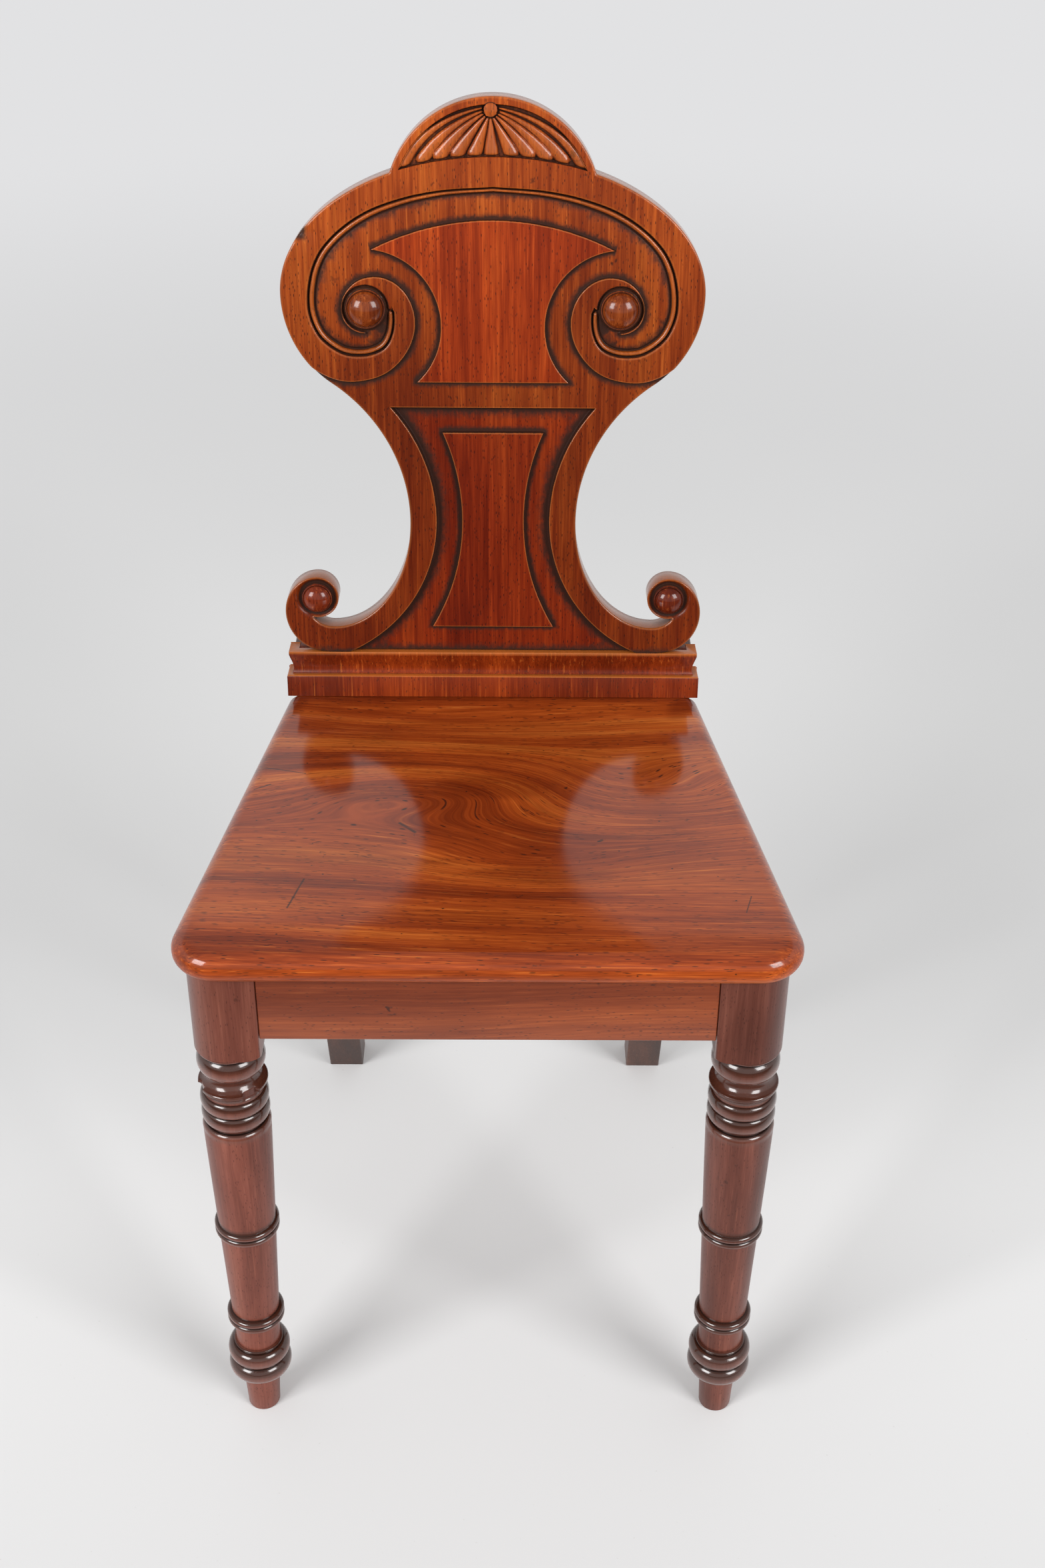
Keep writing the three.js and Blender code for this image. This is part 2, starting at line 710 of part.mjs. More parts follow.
// The raised border follows the head outside the bead, then winds into the eye
function aroundEye(turnShares, reachShares, reach, startAngle) {
  const points = turnShares.map((turn, i) => {
    const angle = startAngle + turn * Math.PI * 2;
    return new THREE.Vector2(upperEyeX + reach * reachShares[i] * Math.cos(angle),
      upperEyeLevel + reach * reachShares[i] * Math.sin(angle));
  });
  return new THREE.SplineCurve(points).getPoints(points.length * 5);
}

function beadLine() {
  const start = Math.atan2(headLevel - upperEyeLevel, beadSideX - upperEyeX);
  const reach = Math.hypot(beadSideX - upperEyeX, headLevel - upperEyeLevel);
  const turns = beadTurnShares.map((share) => -share);
  const inward = aroundEye(turns, beadReachShares, reach, start);
  return [...arc(0, headLevel, beadSideX, beadTopLevel - headLevel, Math.PI / 2, 0), ...inward.slice(1)];
}

// Everything inside the bead and below the ribbon, which lies lower than the border
function loweredFace() {
  const spiral = aroundEye(voluteTurnShares, voluteReachShares, voluteReach, -Math.PI / 2);
  const ring = upperBossRadius + bossFlange;
  const line = beadLine();
  const last = line[line.length - 1];
  const lastAngle = Math.atan2(last.y - upperEyeLevel, last.x - upperEyeX) + Math.PI * 2;
  const eye = arc(upperEyeX, upperEyeLevel, ring, ring, lastAngle, -Math.PI / 2);
  const end = spiral[spiral.length - 1];
  const wide = scrollReach + overrun;
  const below = [new THREE.Vector2(wide, end.y), new THREE.Vector2(wide, -overrun)];
  const half = [...line, ...eye, ...spiral, ...below];
  return outline([...half, ...mirrored(half)]);
}

function fanLobe(index) {
  const middle = (fanLobes - 1) / 2;
  const share = (index - middle) / middle;
  const hubLevel = crestLevel + fanRadius - fanHubRadius;
  const reachX = Math.sqrt(fanRadius ** 2 - (fanFootLevel - crestLevel) ** 2) - fanLobeWidth / 2;
  const footX = reachX * share;
  const footLevel = fanFootLevel + fanFootRise * (1 - share * share) - fanLobeWidth / 2;
  const bulge = (hubLevel - footLevel) * fanLobeBulgeShare * share;
  const path = new THREE.QuadraticBezierCurve(new THREE.Vector2(0, hubLevel),
    new THREE.Vector2(footX / 2 + bulge, (hubLevel + footLevel) / 2 + Math.abs(bulge)),
    new THREE.Vector2(footX, footLevel));
  const left = [];
  const right = [];
  for (let i = 0; i <= lobeSteps; i++) {
    const t = i / lobeSteps;
    const centre = path.getPoint(t);
    const along = path.getTangent(t);
    const half = (fanLobeWidth / 2) * (t * grooveShare + (1 - grooveShare));
    left.push(new THREE.Vector2(centre.x - along.y * half, centre.y + along.x * half));
    right.unshift(new THREE.Vector2(centre.x + along.y * half, centre.y - along.x * half));
  }
  return outline([...right, ...left]);
}

function fanRecess() {
  const start = Math.asin((fanFootLevel - crestLevel) / fanRadius);
  const chord = fanRadius * Math.cos(start);
  const footRadius = (chord * chord + fanFootRise * fanFootRise) / (2 * fanFootRise);
  const spread = Math.asin(chord / footRadius);
  const footCentre = fanFootLevel + fanFootRise - footRadius;
  return outline([
    ...arc(0, crestLevel, fanRadius, fanRadius, start, Math.PI - start),
    ...arc(0, footCentre, footRadius, footRadius, Math.PI / 2 + spread, Math.PI / 2 - spread),
  ]);
}

const eyes = {
  upper: {
    x: upperEyeX, level: upperEyeLevel, face: -borderRise, radius: upperBossRadius, rise: upperBossRise,
  },
  lower: { x: lowerEyeX, level: lowerEyeLevel, face: 0, radius: lowerBossRadius, rise: lowerBossRise },
};

// A ring groove round a boss, and the hole for its spigot
function eyeCutters(eye, side) {
  const place = new THREE.Matrix4().makeTranslation(side * eye.x, eye.face, eye.level)
    .multiply(new THREE.Matrix4().makeRotationX(-Math.PI / 2));
  const inner = eye.radius + bossFlange;
  const groove = [
    new THREE.Vector2(inner, -overrun), new THREE.Vector2(inner + eyeGrooveWidth, -overrun),
    new THREE.Vector2(inner + eyeGrooveWidth, 0),
    new THREE.Vector2(inner + eyeGrooveWidth / 2, eyeGrooveDepth),
    new THREE.Vector2(inner, 0), new THREE.Vector2(inner, -overrun),
  ];
  const hole = [
    new THREE.Vector2(0, -overrun), new THREE.Vector2(spigotRadius + jointGap, -overrun),
    new THREE.Vector2(spigotRadius + jointGap, spigotLength + jointGap),
    new THREE.Vector2(0, spigotLength + jointGap),
  ];
  return [groove, hole].map((profile) => toSolid(turned(profile, bossSides).applyMatrix4(place)));
}

function placeBackScrews() {
  const turnForward = new THREE.Matrix4().makeRotationX(Math.PI / 2);
  const place = (name, x, level) => backScrewPlaces.set(name,
    new THREE.Matrix4().makeTranslation(x, rearRailRear, level).multiply(turnForward));
  for (const [label, side] of sides) {
    place(`${label}_leg_lower_screw`, side * rearLegX, -backScrewFootDrop);
    place(`${label}_leg_upper_screw`, side * rearLegX, backScrewRise);
    place(`${label}_rail_screw`, side * railScrewX, -railScrewDrop);
  }
}

const holes = (places, length) => [...places.values()].map((place) => screw(length, jointGap, place));
const backScrewHoles = () => holes(backScrewPlaces, backScrewLength);
const seatScrewHoles = () => holes(seatScrewPlaces, seatScrewLength);

function tabletPlan() {
  const spread = Math.asin(tabletTipX / tabletTopRadius);
  const top = arc(0, tabletTopLevel - tabletTopRadius, tabletTopRadius, tabletTopRadius,
    Math.PI / 2 - spread, Math.PI / 2 + spread);
  const foot = [
    new THREE.Vector2(-tabletTipX, tabletFootLevel),
    new THREE.Vector2(tabletTipX, tabletFootLevel),
  ];
  return outline([...top, ...foot]);
}

function tablet() {
  const scoops = sides.map(([, side]) => facing(new THREE.Shape(arc(side * tabletSideX, tabletSideLevel,
    tabletSideRadius, tabletSideRadius, 0, Math.PI * 2).slice(1)), -overrun, boardRear));
  return cut(toSolid(facing(tabletPlan(), -tabletRise, carvingRoot)), scoops.map(toSolid));
}

// The lobes and the hub run into the rim around them
function fan() {
  const lobes = [];
  for (let i = 0; i < fanLobes; i++) {
    lobes.push(facing(fanLobe(i), fanDepth - fanLobeRise - borderRise, carvingRoot));
  }
  const hubFront = fanHubDrop - borderRise;
  const hub = new THREE.CylinderGeometry(fanHubRadius, fanHubRadius, carvingRoot - hubFront, bossSides);
  hub.translate(0, (carvingRoot + hubFront) / 2, crestLevel + fanRadius - fanHubRadius);
  const reach = fanRadius + fanRimWidth / 2;
  const limit = facing(new THREE.Shape(arc(0, crestLevel, reach, reach, 0, Math.PI)), -overrun, carvingRoot);
  return join([...lobes, hub].map(toSolid)).intersect(toSolid(limit));
}

// A strip along both sides' bead line, from one depth to another
function beadStrip(width, front, rear) {
  const half = beadLine();
  const line = [...mirrored(half).slice(0, -1), ...half];
  const upper = [];
  const lower = [];
  line.forEach((p, i) => {
    const ahead = line[Math.min(i + 1, line.length - 1)];
    const behind = line[Math.max(i - 1, 0)];
    const along = ahead.clone().sub(behind).normalize();
    upper.push(new THREE.Vector2(p.x - (along.y * width) / 2, p.y + (along.x * width) / 2));
    lower.unshift(new THREE.Vector2(p.x + (along.y * width) / 2, p.y - (along.x * width) / 2));
  });
  return toSolid(facing(outline([...upper, ...lower]), front, rear));
}

function backPanel() {
  const lowered = facing(loweredFace(), -overrun, 0);
  const field = facing(waisted(fieldHalfWidth, fieldTopHalfWidth, fieldFootHalfWidth, fieldTopLevel,
    baseLevel - jointGap), -overrun, fieldDepth);
  const recess = facing(fanRecess(), -overrun, fanDepth - borderRise);
  const pillar = facing(waisted(pillarHalfWidth, pillarTopHalfWidth, pillarFootHalfWidth, pillarTopLevel,
    pillarFootLevel), fieldDepth - pillarRise, carvingRoot);
  const seatRadius = upperBossRadius + bossFlange + eyeGrooveWidth / 2;
  const eyeSeats = sides.map(([, side]) => facing(new THREE.Shape(arc(side * upperEyeX, upperEyeLevel,
    seatRadius, seatRadius, 0, Math.PI * 2).slice(1)), -borderRise, carvingRoot));
  const ground = cut(boardBlank(), [lowered, field, recess].map(toSolid));
  const carved = join([ground, toSolid(pillar), tablet(), fan(), ...eyeSeats.map(toSolid)]);
  const grooved = carved.subtract(beadStrip(beadWidth + beadGrooveWidth * 2, -overrun, beadGrooveDepth));
  const beaded = grooved.add(beadStrip(beadWidth, beadDrop - borderRise, carvingRoot));
  const eyeHoles = Object.values(eyes).flatMap((eye) => sides.flatMap(([, side]) => eyeCutters(eye, side)));
  return cut(beaded, [...eyeHoles, ...backScrewHoles().map(toSolid)]);
}

// Mouldings round the foot of the back board: the front profile and the same profile on each end

function mouldedRing(profile, low, high) {
  const wide = baseHalfWidth + mouldingReturn;
  const rear = [new THREE.Vector2(boardRear + overrun, high), new THREE.Vector2(boardRear + overrun, low)];
  const depth = (wide + overrun) * 2;
  const front = new THREE.ExtrudeGeometry(outline([...profile, ...rear]), { depth, bevelEnabled: false });
  front.applyMatrix4(sideways).translate(-depth / 2, 0, 0);
  const half = profile.map((p) => new THREE.Vector2(wide - p.x, p.y));
  const ends = facing(outline([...half, ...mirrored(half)]), -overrun, boardRear);
  const core = box(-baseHalfWidth - jointGap, baseHalfWidth + jointGap, mouldingDepth - jointGap,
    boardRear + overrun, low - overrun, high + overrun);
  return toSolid(front).intersect(toSolid(ends)).subtract(toSolid(core));
}

function cavettoMoulding() {
  const low = plinthHeight + jointGap;
  const high = baseLevel - jointGap;
  const height = high - low - cavettoFillet * 2;
  const middle = low + cavettoFillet + height / 2;
  const profile = [
    new THREE.Vector2(jointGap, low),
    ...arc(jointGap, middle, cavettoHollow, height / 2, -Math.PI / 2, Math.PI / 2, beadSteps),
    new THREE.Vector2(jointGap, high),
  ];
  return mouldedRing(profile, low, high);
}

function plinthMoulding() {
  const profile = [
    new THREE.Vector2(-plinthStep, -overrun),
    new THREE.Vector2(-plinthStep, plinthHeight - plinthStep / 2),
    new THREE.Vector2(-plinthStep / 2, plinthHeight),
  ];
  const underSeat = unleaned(box(-seatFrontWidth, seatFrontWidth, 0, overallDepth, 0, seatHeight + jointGap));
  return mouldedRing(profile, -overrun, plinthHeight).subtract(toSolid(underSeat));
}

// Turned bosses: a dome on a thin flange, with a spigot behind

function boss(eye, side) {
  const flange = eye.radius + bossFlange - jointGap;
  const profile = [
    new THREE.Vector2(0, spigotLength),
    new THREE.Vector2(spigotRadius, spigotLength),
    new THREE.Vector2(spigotRadius, -jointGap),
    new THREE.Vector2(flange, -jointGap),
    new THREE.Vector2(flange, -bossFlangeHeight),
    ...arc(0, -bossFlangeHeight, eye.radius, eye.rise - bossFlangeHeight, 0, -Math.PI / 2),
  ];
  const solid = turned(profile, bossSides);
  return solid.applyMatrix4(new THREE.Matrix4().makeTranslation(side * eye.x, eye.face, eye.level)
    .multiply(new THREE.Matrix4().makeRotationX(-Math.PI / 2)));
}

// The chair

const chair = new THREE.Group();
placeBackScrews();

for (const [label, side] of sides) {
  const leg = piece(`front_${label}_leg`, toGeometry(frontLeg(side)), legWood());
  leg.position.set(side * legX, legY, 0);
  chair.add(leg);
  chair.add(piece(`rear_${label}_leg`, toGeometry(rearLeg(side)), rearWood()));
  chair.add(piece(`${label}_side_rail`, toGeometry(sideRail(side)), legWood()));
  for (const [end, front] of [['front', true], ['rear', false]]) {
    chair.add(piece(`${end}_${label}_corner_block`, toGeometry(cornerBlock(side, front)), blockWood()));
    seatScrewPlaces.set(`${end}_${label}_seat_screw`, cornerScrew(side, front));
  }
}
chair.add(piece('front_rail', toGeometry(frontRail()), legWood()));
chair.add(piece('seat_board', toGeometry(seatBoard()), seatWood()));
for (const [name, place] of seatScrewPlaces) {
  chair.add(piece(name, toGeometry(toSolid(screw(seatScrewLength, 0, place))), steel()));
}

// The back leans as one group
const back = new THREE.Group();
back.position.set(0, backY, seatHeight);
back.rotation.x = -backRake;
chair.add(back);

back.add(piece('back_panel', toGeometry(backPanel()), backWood()));
back.add(piece('cavetto_moulding', toGeometry(cavettoMoulding()), backWood()));
back.add(piece('plinth_moulding', toGeometry(plinthMoulding()), backWood()));
for (const [row, eye] of Object.entries(eyes)) {
  for (const [label, side] of sides) {
    back.add(piece(`${row}_${label}_boss`, toGeometry(toSolid(boss(eye, side))), backWood()));
  }
}
const drilledRail = cut(rearRail(), backScrewHoles().map(toSolid));
back.add(piece('rear_rail', toGeometry(drilledRail), rearWood()));
for (const [name, place] of backScrewPlaces) {
  back.add(piece(name, toGeometry(toSolid(screw(backScrewLength, 0, place))), steel()));
}

export default chair;
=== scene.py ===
import math

import bpy
import numpy as np
from mathutils import Matrix, Vector
from mathutils.geometry import delaunay_2d_cdt


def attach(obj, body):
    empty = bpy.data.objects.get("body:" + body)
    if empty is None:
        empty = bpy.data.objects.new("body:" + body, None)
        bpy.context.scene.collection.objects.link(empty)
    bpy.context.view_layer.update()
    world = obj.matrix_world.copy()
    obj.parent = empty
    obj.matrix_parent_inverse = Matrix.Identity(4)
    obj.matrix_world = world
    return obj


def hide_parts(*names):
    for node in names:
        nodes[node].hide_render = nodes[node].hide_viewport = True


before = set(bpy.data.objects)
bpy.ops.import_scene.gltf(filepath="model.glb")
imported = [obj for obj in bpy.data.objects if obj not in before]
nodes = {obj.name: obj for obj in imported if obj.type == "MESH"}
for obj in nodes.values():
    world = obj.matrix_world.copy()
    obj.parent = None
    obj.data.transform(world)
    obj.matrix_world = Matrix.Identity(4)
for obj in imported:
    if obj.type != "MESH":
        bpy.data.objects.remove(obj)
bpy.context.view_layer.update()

# Sizes in the pieces below are in millimetres and become metres when a mesh is made
mm = 0.001
scene = bpy.context.scene
rake = math.radians(6.6)
backPlace = Matrix.Translation((0, 0.102, 0.45)) @ Matrix.Rotation(-rake, 4, "X")


# Camera: the photograph's own viewpoint
view = {"place": (0.01465, -1.1778, 1.21714), "down": 33.5, "turn": 0.376, "roll": 0.486, "lens": 45.015}


def makeCamera(v):
    down, turn, roll = (math.radians(v[k]) for k in ("down", "turn", "roll"))
    ahead = Vector((math.sin(turn) * math.cos(down), math.cos(turn) * math.cos(down), -math.sin(down)))
    right = ahead.cross(Vector((0, 0, 1))).normalized()
    up = right.cross(ahead)
    tilted = right * math.cos(roll) + up * math.sin(roll)
    upright = up * math.cos(roll) - right * math.sin(roll)
    camera = bpy.data.objects.new("camera", bpy.data.cameras.new("camera"))
    scene.collection.objects.link(camera)
    camera.data.sensor_fit = "VERTICAL"
    camera.data.sensor_height = 36
    camera.data.lens = v["lens"]
    camera.data.clip_end = 60
    rows = Matrix((tilted, upright, -ahead)).transposed().to_4x4()
    camera.matrix_world = Matrix.Translation(v["place"]) @ rows
    scene.camera = camera


makeCamera(view)
print("camera placed")


# Lines in a plane, as arrays of points

def arc(x, y, radiusX, radiusY, start, end, step=1.4):
    turn = math.radians(end - start)
    count = max(3, int(abs(turn) * max(radiusX, radiusY) / step) + 1)
    t = np.linspace(math.radians(start), math.radians(end), count)
    return np.stack([x + radiusX * np.cos(t), y + radiusY * np.sin(t)], 1)


def chain(*parts):
    line = np.concatenate([np.asarray(p, float).reshape(-1, 2) for p in parts])
    apart = np.hypot(*np.diff(line, axis=0).T) > 1e-4
    return line[np.concatenate([[True], apart])]


def spaced(line, step):
    along = np.concatenate([[0], np.cumsum(np.hypot(*np.diff(line, axis=0).T))])
    count = max(2, int(round(along[-1] / step)) + 1)
    t = np.linspace(0, along[-1], count)
    return np.stack([np.interp(t, along, line[:, 0]), np.interp(t, along, line[:, 1])], 1)


def corners(line, step):
    # Straight runs keep their corner points and get points between them
    out = []
    for a, b in zip(line, np.roll(line, -1, 0)):
        n = max(1, int(np.hypot(*(b - a)) / step))
        out.append(a + (b - a) * np.arange(n)[:, None] / n)
    return np.concatenate(out)


def smoothLine(points, step):
    p = np.asarray(points, float)
    p = np.vstack([2 * p[0] - p[1], p, 2 * p[-1] - p[-2]])
    t = np.linspace(0, 1, 12, endpoint=False)[:, None]
    out = []
    for a, b, c, d in zip(p, p[1:], p[2:], p[3:]):
        out.append(0.5 * (2 * b + (c - a) * t + (2 * a - 5 * b + 4 * c - d) * t**2
                          + (3 * b - a - 3 * c + d) * t**3))
    out.append(p[-2:-1])
    return spaced(np.concatenate(out), step)


def mirrored(line):
    return line[::-1] * [-1, 1]


def shifted(line, distance, closed):
    # The line moved to its right
    if closed:
        along = np.roll(line, -1, 0) - np.roll(line, 1, 0)
    else:
        along = np.gradient(line, axis=0)
    along = along / np.maximum(np.hypot(*along.T), 1e-9)[:, None]
    return line + distance * np.stack([along[:, 1], -along[:, 0]], 1)


def nearest(at, line, closed):
    # Distance to a line and how far along it
    a, b = line, np.roll(line, -1, 0)
    if not closed:
        a, b = a[:-1], b[:-1]
    d = b - a
    size = np.maximum((d**2).sum(1), 1e-12)
    gap, along = np.empty(len(at)), np.empty(len(at))
    batch = 4000
    for i in range(0, len(at), batch):
        part = slice(i, i + batch)
        p = at[part, None, :] - a[None]
        t = np.clip((p * d).sum(2) / size, 0, 1)
        far = ((p - t[..., None] * d)**2).sum(2)
        k = far.argmin(1)
        rows = np.arange(len(k))
        gap[part] = np.sqrt(far[rows, k])
        along[part] = (k + t[rows, k]) / len(a)
    return gap, along


def inside(at, line):
    hit = np.zeros(len(at), bool)
    for (x0, y0), (x1, y1) in zip(line, np.roll(line, -1, 0)):
        if y0 == y1:
            continue
        across = (at[:, 1] < y0) != (at[:, 1] < y1)
        hit ^= across & (at[:, 0] < x0 + (at[:, 1] - y0) * (x1 - x0) / (y1 - y0))
    return hit


def signed(at, line):
    # Below zero inside a closed line
    gap, _ = nearest(at, line, True)
    return np.where(inside(at, line), -gap, gap)


def ease(t):
    t = np.clip(t, 0, 1)
    return t * t * (3 - 2 * t)


def falling(s, height, edge, wall, foot):
    # Depth below a top face at a distance outside its outline: rounded arris, wall, fillet
    top = edge - np.sqrt(np.maximum(edge**2 - np.clip(s + edge, 0, edge)**2, 0))
    slope = edge + (height - edge - foot) * np.clip(s / wall, 0, 1)
    low = height - foot + np.sqrt(np.maximum(foot**2 - (foot - np.clip(s - wall, 0, foot))**2, 0))
    return np.where(s < 0, top, np.where(s < wall, slope, low))


# Distances from an outline at which the surface beside it turns
fallRings = (-0.9, -0.5, -0.32, -0.12, 0.0, 0.35, 0.5, 0.7, 1.1, 1.9, 3.0, 4.4, 6.4)


# Mesh helpers

def newPiece(name, points, faces, place=None):
    mesh = bpy.data.meshes.new(name)
    mesh.from_pydata([tuple(p) for p in np.asarray(points, float) * mm], [], faces)
    if place is not None:
        mesh.transform(place)
    mesh.validate()
    piece = bpy.data.objects.new(name, mesh)
    scene.collection.objects.link(piece)
    return piece


def only(piece):
    bpy.ops.object.select_all(action="DESELECT")
    piece.select_set(True)
    bpy.context.view_layer.objects.active = piece


def outward(piece, angle=35):
    only(piece)
    bpy.ops.object.mode_set(mode="EDIT")
    bpy.ops.mesh.select_all(action="SELECT")
    bpy.ops.mesh.remove_doubles(threshold=1e-6)
    bpy.ops.mesh.normals_make_consistent(inside=False)
    bpy.ops.object.mode_set(mode="OBJECT")
    bpy.ops.object.shade_smooth_by_angle(angle=math.radians(angle))


def bevelled(piece, width, segments, angle=30):
    only(piece)
    bevel = piece.modifiers.new("bevel", "BEVEL")
    bevel.width = width * mm
    bevel.segments = segments
    bevel.limit_method = "ANGLE"
    bevel.angle_limit = math.radians(angle)
    bpy.ops.object.modifier_apply(modifier=bevel.name)


def booled(piece, other, operation):
    only(piece)
    cut = piece.modifiers.new("cut", "BOOLEAN")
    cut.operation = operation
    cut.solver = "EXACT"
    cut.object = other
    bpy.ops.object.modifier_apply(modifier=cut.name)
    bpy.data.objects.remove(other)


def joined(name, pieces):
    bpy.ops.object.select_all(action="DESELECT")
    for piece in pieces:
        piece.select_set(True)
    bpy.context.view_layer.objects.active = pieces[0]
    bpy.ops.object.join()
    pieces[0].name = pieces[0].data.name = name
    return pieces[0]


def marked(piece, values):
    # Marks for the finish at each point: dirt with painted shade, shine with a painted highlight, and tint, which on
    # the leg rings is dark polish with a painted dark reflection
    marks = np.zeros((len(piece.data.vertices), 4))
    marks[:len(values), :3] = values
    piece.data.color_attributes.new("marks", "FLOAT_COLOR", "POINT").data.foreach_set("color", marks.ravel())


def sleeve(first, second):
    # Faces between two closed rings of point numbers
    n = len(first)
    return [(first[i], first[(i + 1) % n], second[(i + 1) % n], second[i]) for i in range(n)]


def prism(name, outline, low, high, place=None):
    # An outline in plan, standing from one height to another
    n = len(outline)
    points = [(x, y, z) for z in (low, high) for x, y in outline]
    lower, upper = tuple(range(n)), tuple(range(n, 2 * n))
    return newPiece(name, points, [lower[::-1], upper] + sleeve(lower, upper), place)


def turned(name, profile, sides, place):
    # A profile of (radius, height) turned about Z
    angles = np.linspace(0, 2 * math.pi, sides, endpoint=False)
    points, rings = [], []
    for r, z in profile:
        if r < 1e-6:
            rings.append([len(points)])
            points.append((0, 0, z))
        else:
            rings.append(list(range(len(points), len(points) + sides)))
            points += [(r * math.cos(a), r * math.sin(a), z) for a in angles]
    faces = []
    for lower, upper in zip(rings, rings[1:]):
        for i in range(sides):
            j = (i + 1) % sides
            quad = (lower[i % len(lower)], lower[j % len(lower)], upper[j % len(upper)], upper[i % len(upper)])
            # At a tip two of the four are one point
            quad = tuple(dict.fromkeys(quad))
            if len(quad) > 2:
                faces.append(quad)
    return newPiece(name, points, faces, place)


def box(name, low, high, place=None):
    (x0, y0, z0), (x1, y1, z1) = low, high
    return prism(name, [(x0, y0), (x1, y0), (x1, y1), (x0, y1)], z0, z1, place)


def behindBoard(depth):
    # All that lies behind a plane at a depth in the back board
    return box("cut", (-300, depth, -200), (300, 200, 200), backPlace)


def finished(piece, node, material):
    piece.data.materials.clear()
    piece.data.materials.append(material)
    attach(piece, "root")
    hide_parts(node)


# Materials: shader sockets that take part in sums

class Wire:
    def __init__(self, look, socket):
        self.look = look
        self.socket = socket

    def out(self, name):
        # Another output of the same node
        return Wire(self.look, self.socket.node.outputs[name])

    def maths(self, operation, other=0.0, flip=False):
        first, second = (other, self) if flip else (self, other)
        return self.look.node("ShaderNodeMath", {0: first, 1: second}, operation=operation)

    def __add__(self, other):
        return self.maths("ADD", other)

    def __mul__(self, other):
        return self.maths("MULTIPLY", other)

    def __sub__(self, other):
        return self.maths("SUBTRACT", other)

    def __rsub__(self, other):
        return self.maths("SUBTRACT", other, flip=True)

    def __truediv__(self, other):
        return self.maths("DIVIDE", other)

    def __rtruediv__(self, other):
        return self.maths("DIVIDE", other, flip=True)

    def __pow__(self, other):
        return self.maths("POWER", other)

    __radd__ = __add__
    __rmul__ = __mul__

    def least(self, other):
        return self.maths("MINIMUM", other)

    def most(self, other):
        return self.maths("MAXIMUM", other)

    def off(self, value):
        # Distance from a value
        return (self - value).maths("ABSOLUTE")

    def steps(self, low, high, first=0.0, last=1.0):
        # Smooth change from first to last as the value goes from low to high
        ends = {"Value": self, "From Min": low, "From Max": high, "To Min": first, "To Max": last}
        return self.look.node("ShaderNodeMapRange", ends, interpolation_type="SMOOTHSTEP", clamp=True)

    def fades(self, low, high):
        return self.steps(low, high, 1.0, 0.0)


class Look:
    def __init__(self, name, tree=None):
        self.tree = tree
        if tree is None:
            self.material = bpy.data.materials.new(name)
            self.material.use_nodes = True
            self.tree = self.material.node_tree
            self.shader = self.tree.nodes["Principled BSDF"]

    def feed(self, slot, value):
        if isinstance(value, Wire):
            self.tree.links.new(value.socket, slot)
        else:
            slot.default_value = value

    def node(self, kind, inputs=(), out=0, **settings):
        node = self.tree.nodes.new(kind)
        for key, value in settings.items():
            setattr(node, key, value)
        for key, value in dict(inputs).items():
            self.feed(node.inputs[key], value)
        return Wire(self, node.outputs[out])

    def split(self, kind, value):
        first = self.node(kind, {0: value})
        return [first.out(k) for k in range(3)]

    def place(self, axes=(0, 1, 2), turn=(0, 0, 0), shift=(0, 0, 0)):
        # Object coordinates as across, depth and along the grain
        spot = self.node("ShaderNodeTexCoord", out="Object")
        spot = self.node("ShaderNodeMapping", {"Vector": spot, "Rotation": turn, "Location": shift})
        parts = self.split("ShaderNodeSeparateXYZ", spot)
        return [parts[k] for k in axes]

    def scaled(self, place, repeats):
        # A place with each of its numbers times its own repeats per metre
        return self.node("ShaderNodeCombineXYZ", {k: place[k] * repeats[k] for k in range(3)})

    def noise(self, place, repeats, detail=2.0, rough=0.5):
        return self.node("ShaderNodeTexNoise", {"Vector": self.scaled(place, repeats), "Scale": 1.0,
                                                "Detail": detail, "Roughness": rough})

    def cells(self, place, repeats):
        # How far the nearest of many scattered points is, and a number picked for that point
        far = self.node("ShaderNodeTexVoronoi", {"Vector": self.scaled(place, repeats), "Scale": 1.0}, out="Distance")
        return far, self.node("ShaderNodeSeparateColor", {0: far.out("Color")})

    def mix(self, factor, a, b, blend="MIX"):
        return self.node("ShaderNodeMix", {0: factor, 6: a, 7: b}, out=2, data_type="RGBA", blend_type=blend)

    def times(self, a, b):
        return self.mix(1.0, a, b, "MULTIPLY")

    def ramp(self, factor, stops):
        colour = self.node("ShaderNodeValToRGB", {0: factor})
        marks = colour.socket.node.color_ramp.elements
        while len(marks) < len(stops):
            marks.new(0.5)
        for mark, (at, shade) in zip(marks, stops):
            mark.position = at
            mark.color = shade
        return colour

    def hollow(self, distance):
        # Goes down from 1 in corners narrower than the distance
        return self.node("ShaderNodeAmbientOcclusion", {"Distance": distance}, out="AO", samples=8, only_local=True)

    def finish(self, colour, rough, height, strength, depth, coat=0.0, coatRough=0.1, metal=0.0, specular=0.5):
        bump = self.node("ShaderNodeBump", {"Height": height, "Strength": strength, "Distance": depth})
        slots = {"Base Color": colour, "Roughness": rough, "Coat Weight": coat, "Coat Roughness": coatRough,
                 "Specular IOR Level": specular, "Metallic": metal, "Normal": bump}
        for slot, value in slots.items():
            self.feed(self.shader.inputs[slot], value)
        return self.material


def tone(red, green, blue):
    # A colour as seen on screen
    parts = [c / 255 for c in (red, green, blue)]
    return tuple(((c + 0.055) / 1.055) ** 2.4 if c > 0.04 else c / 12.92 for c in parts) + (1.0,)


def tones(*stops):
    # Stops of a ramp: each has its place, then a colour as seen on screen
    return [(at, tone(*shade)) for at, *shade in stops]


def oval(along, across, alongAt, acrossAt, reachAlong, reachAcross):
    # Rises from 0 at a spot, as the square of the distance, to 1 at its reach
    a = (along - alongAt) / reachAlong
    b = (across - acrossAt) / reachAcross
    return a * a + b * b


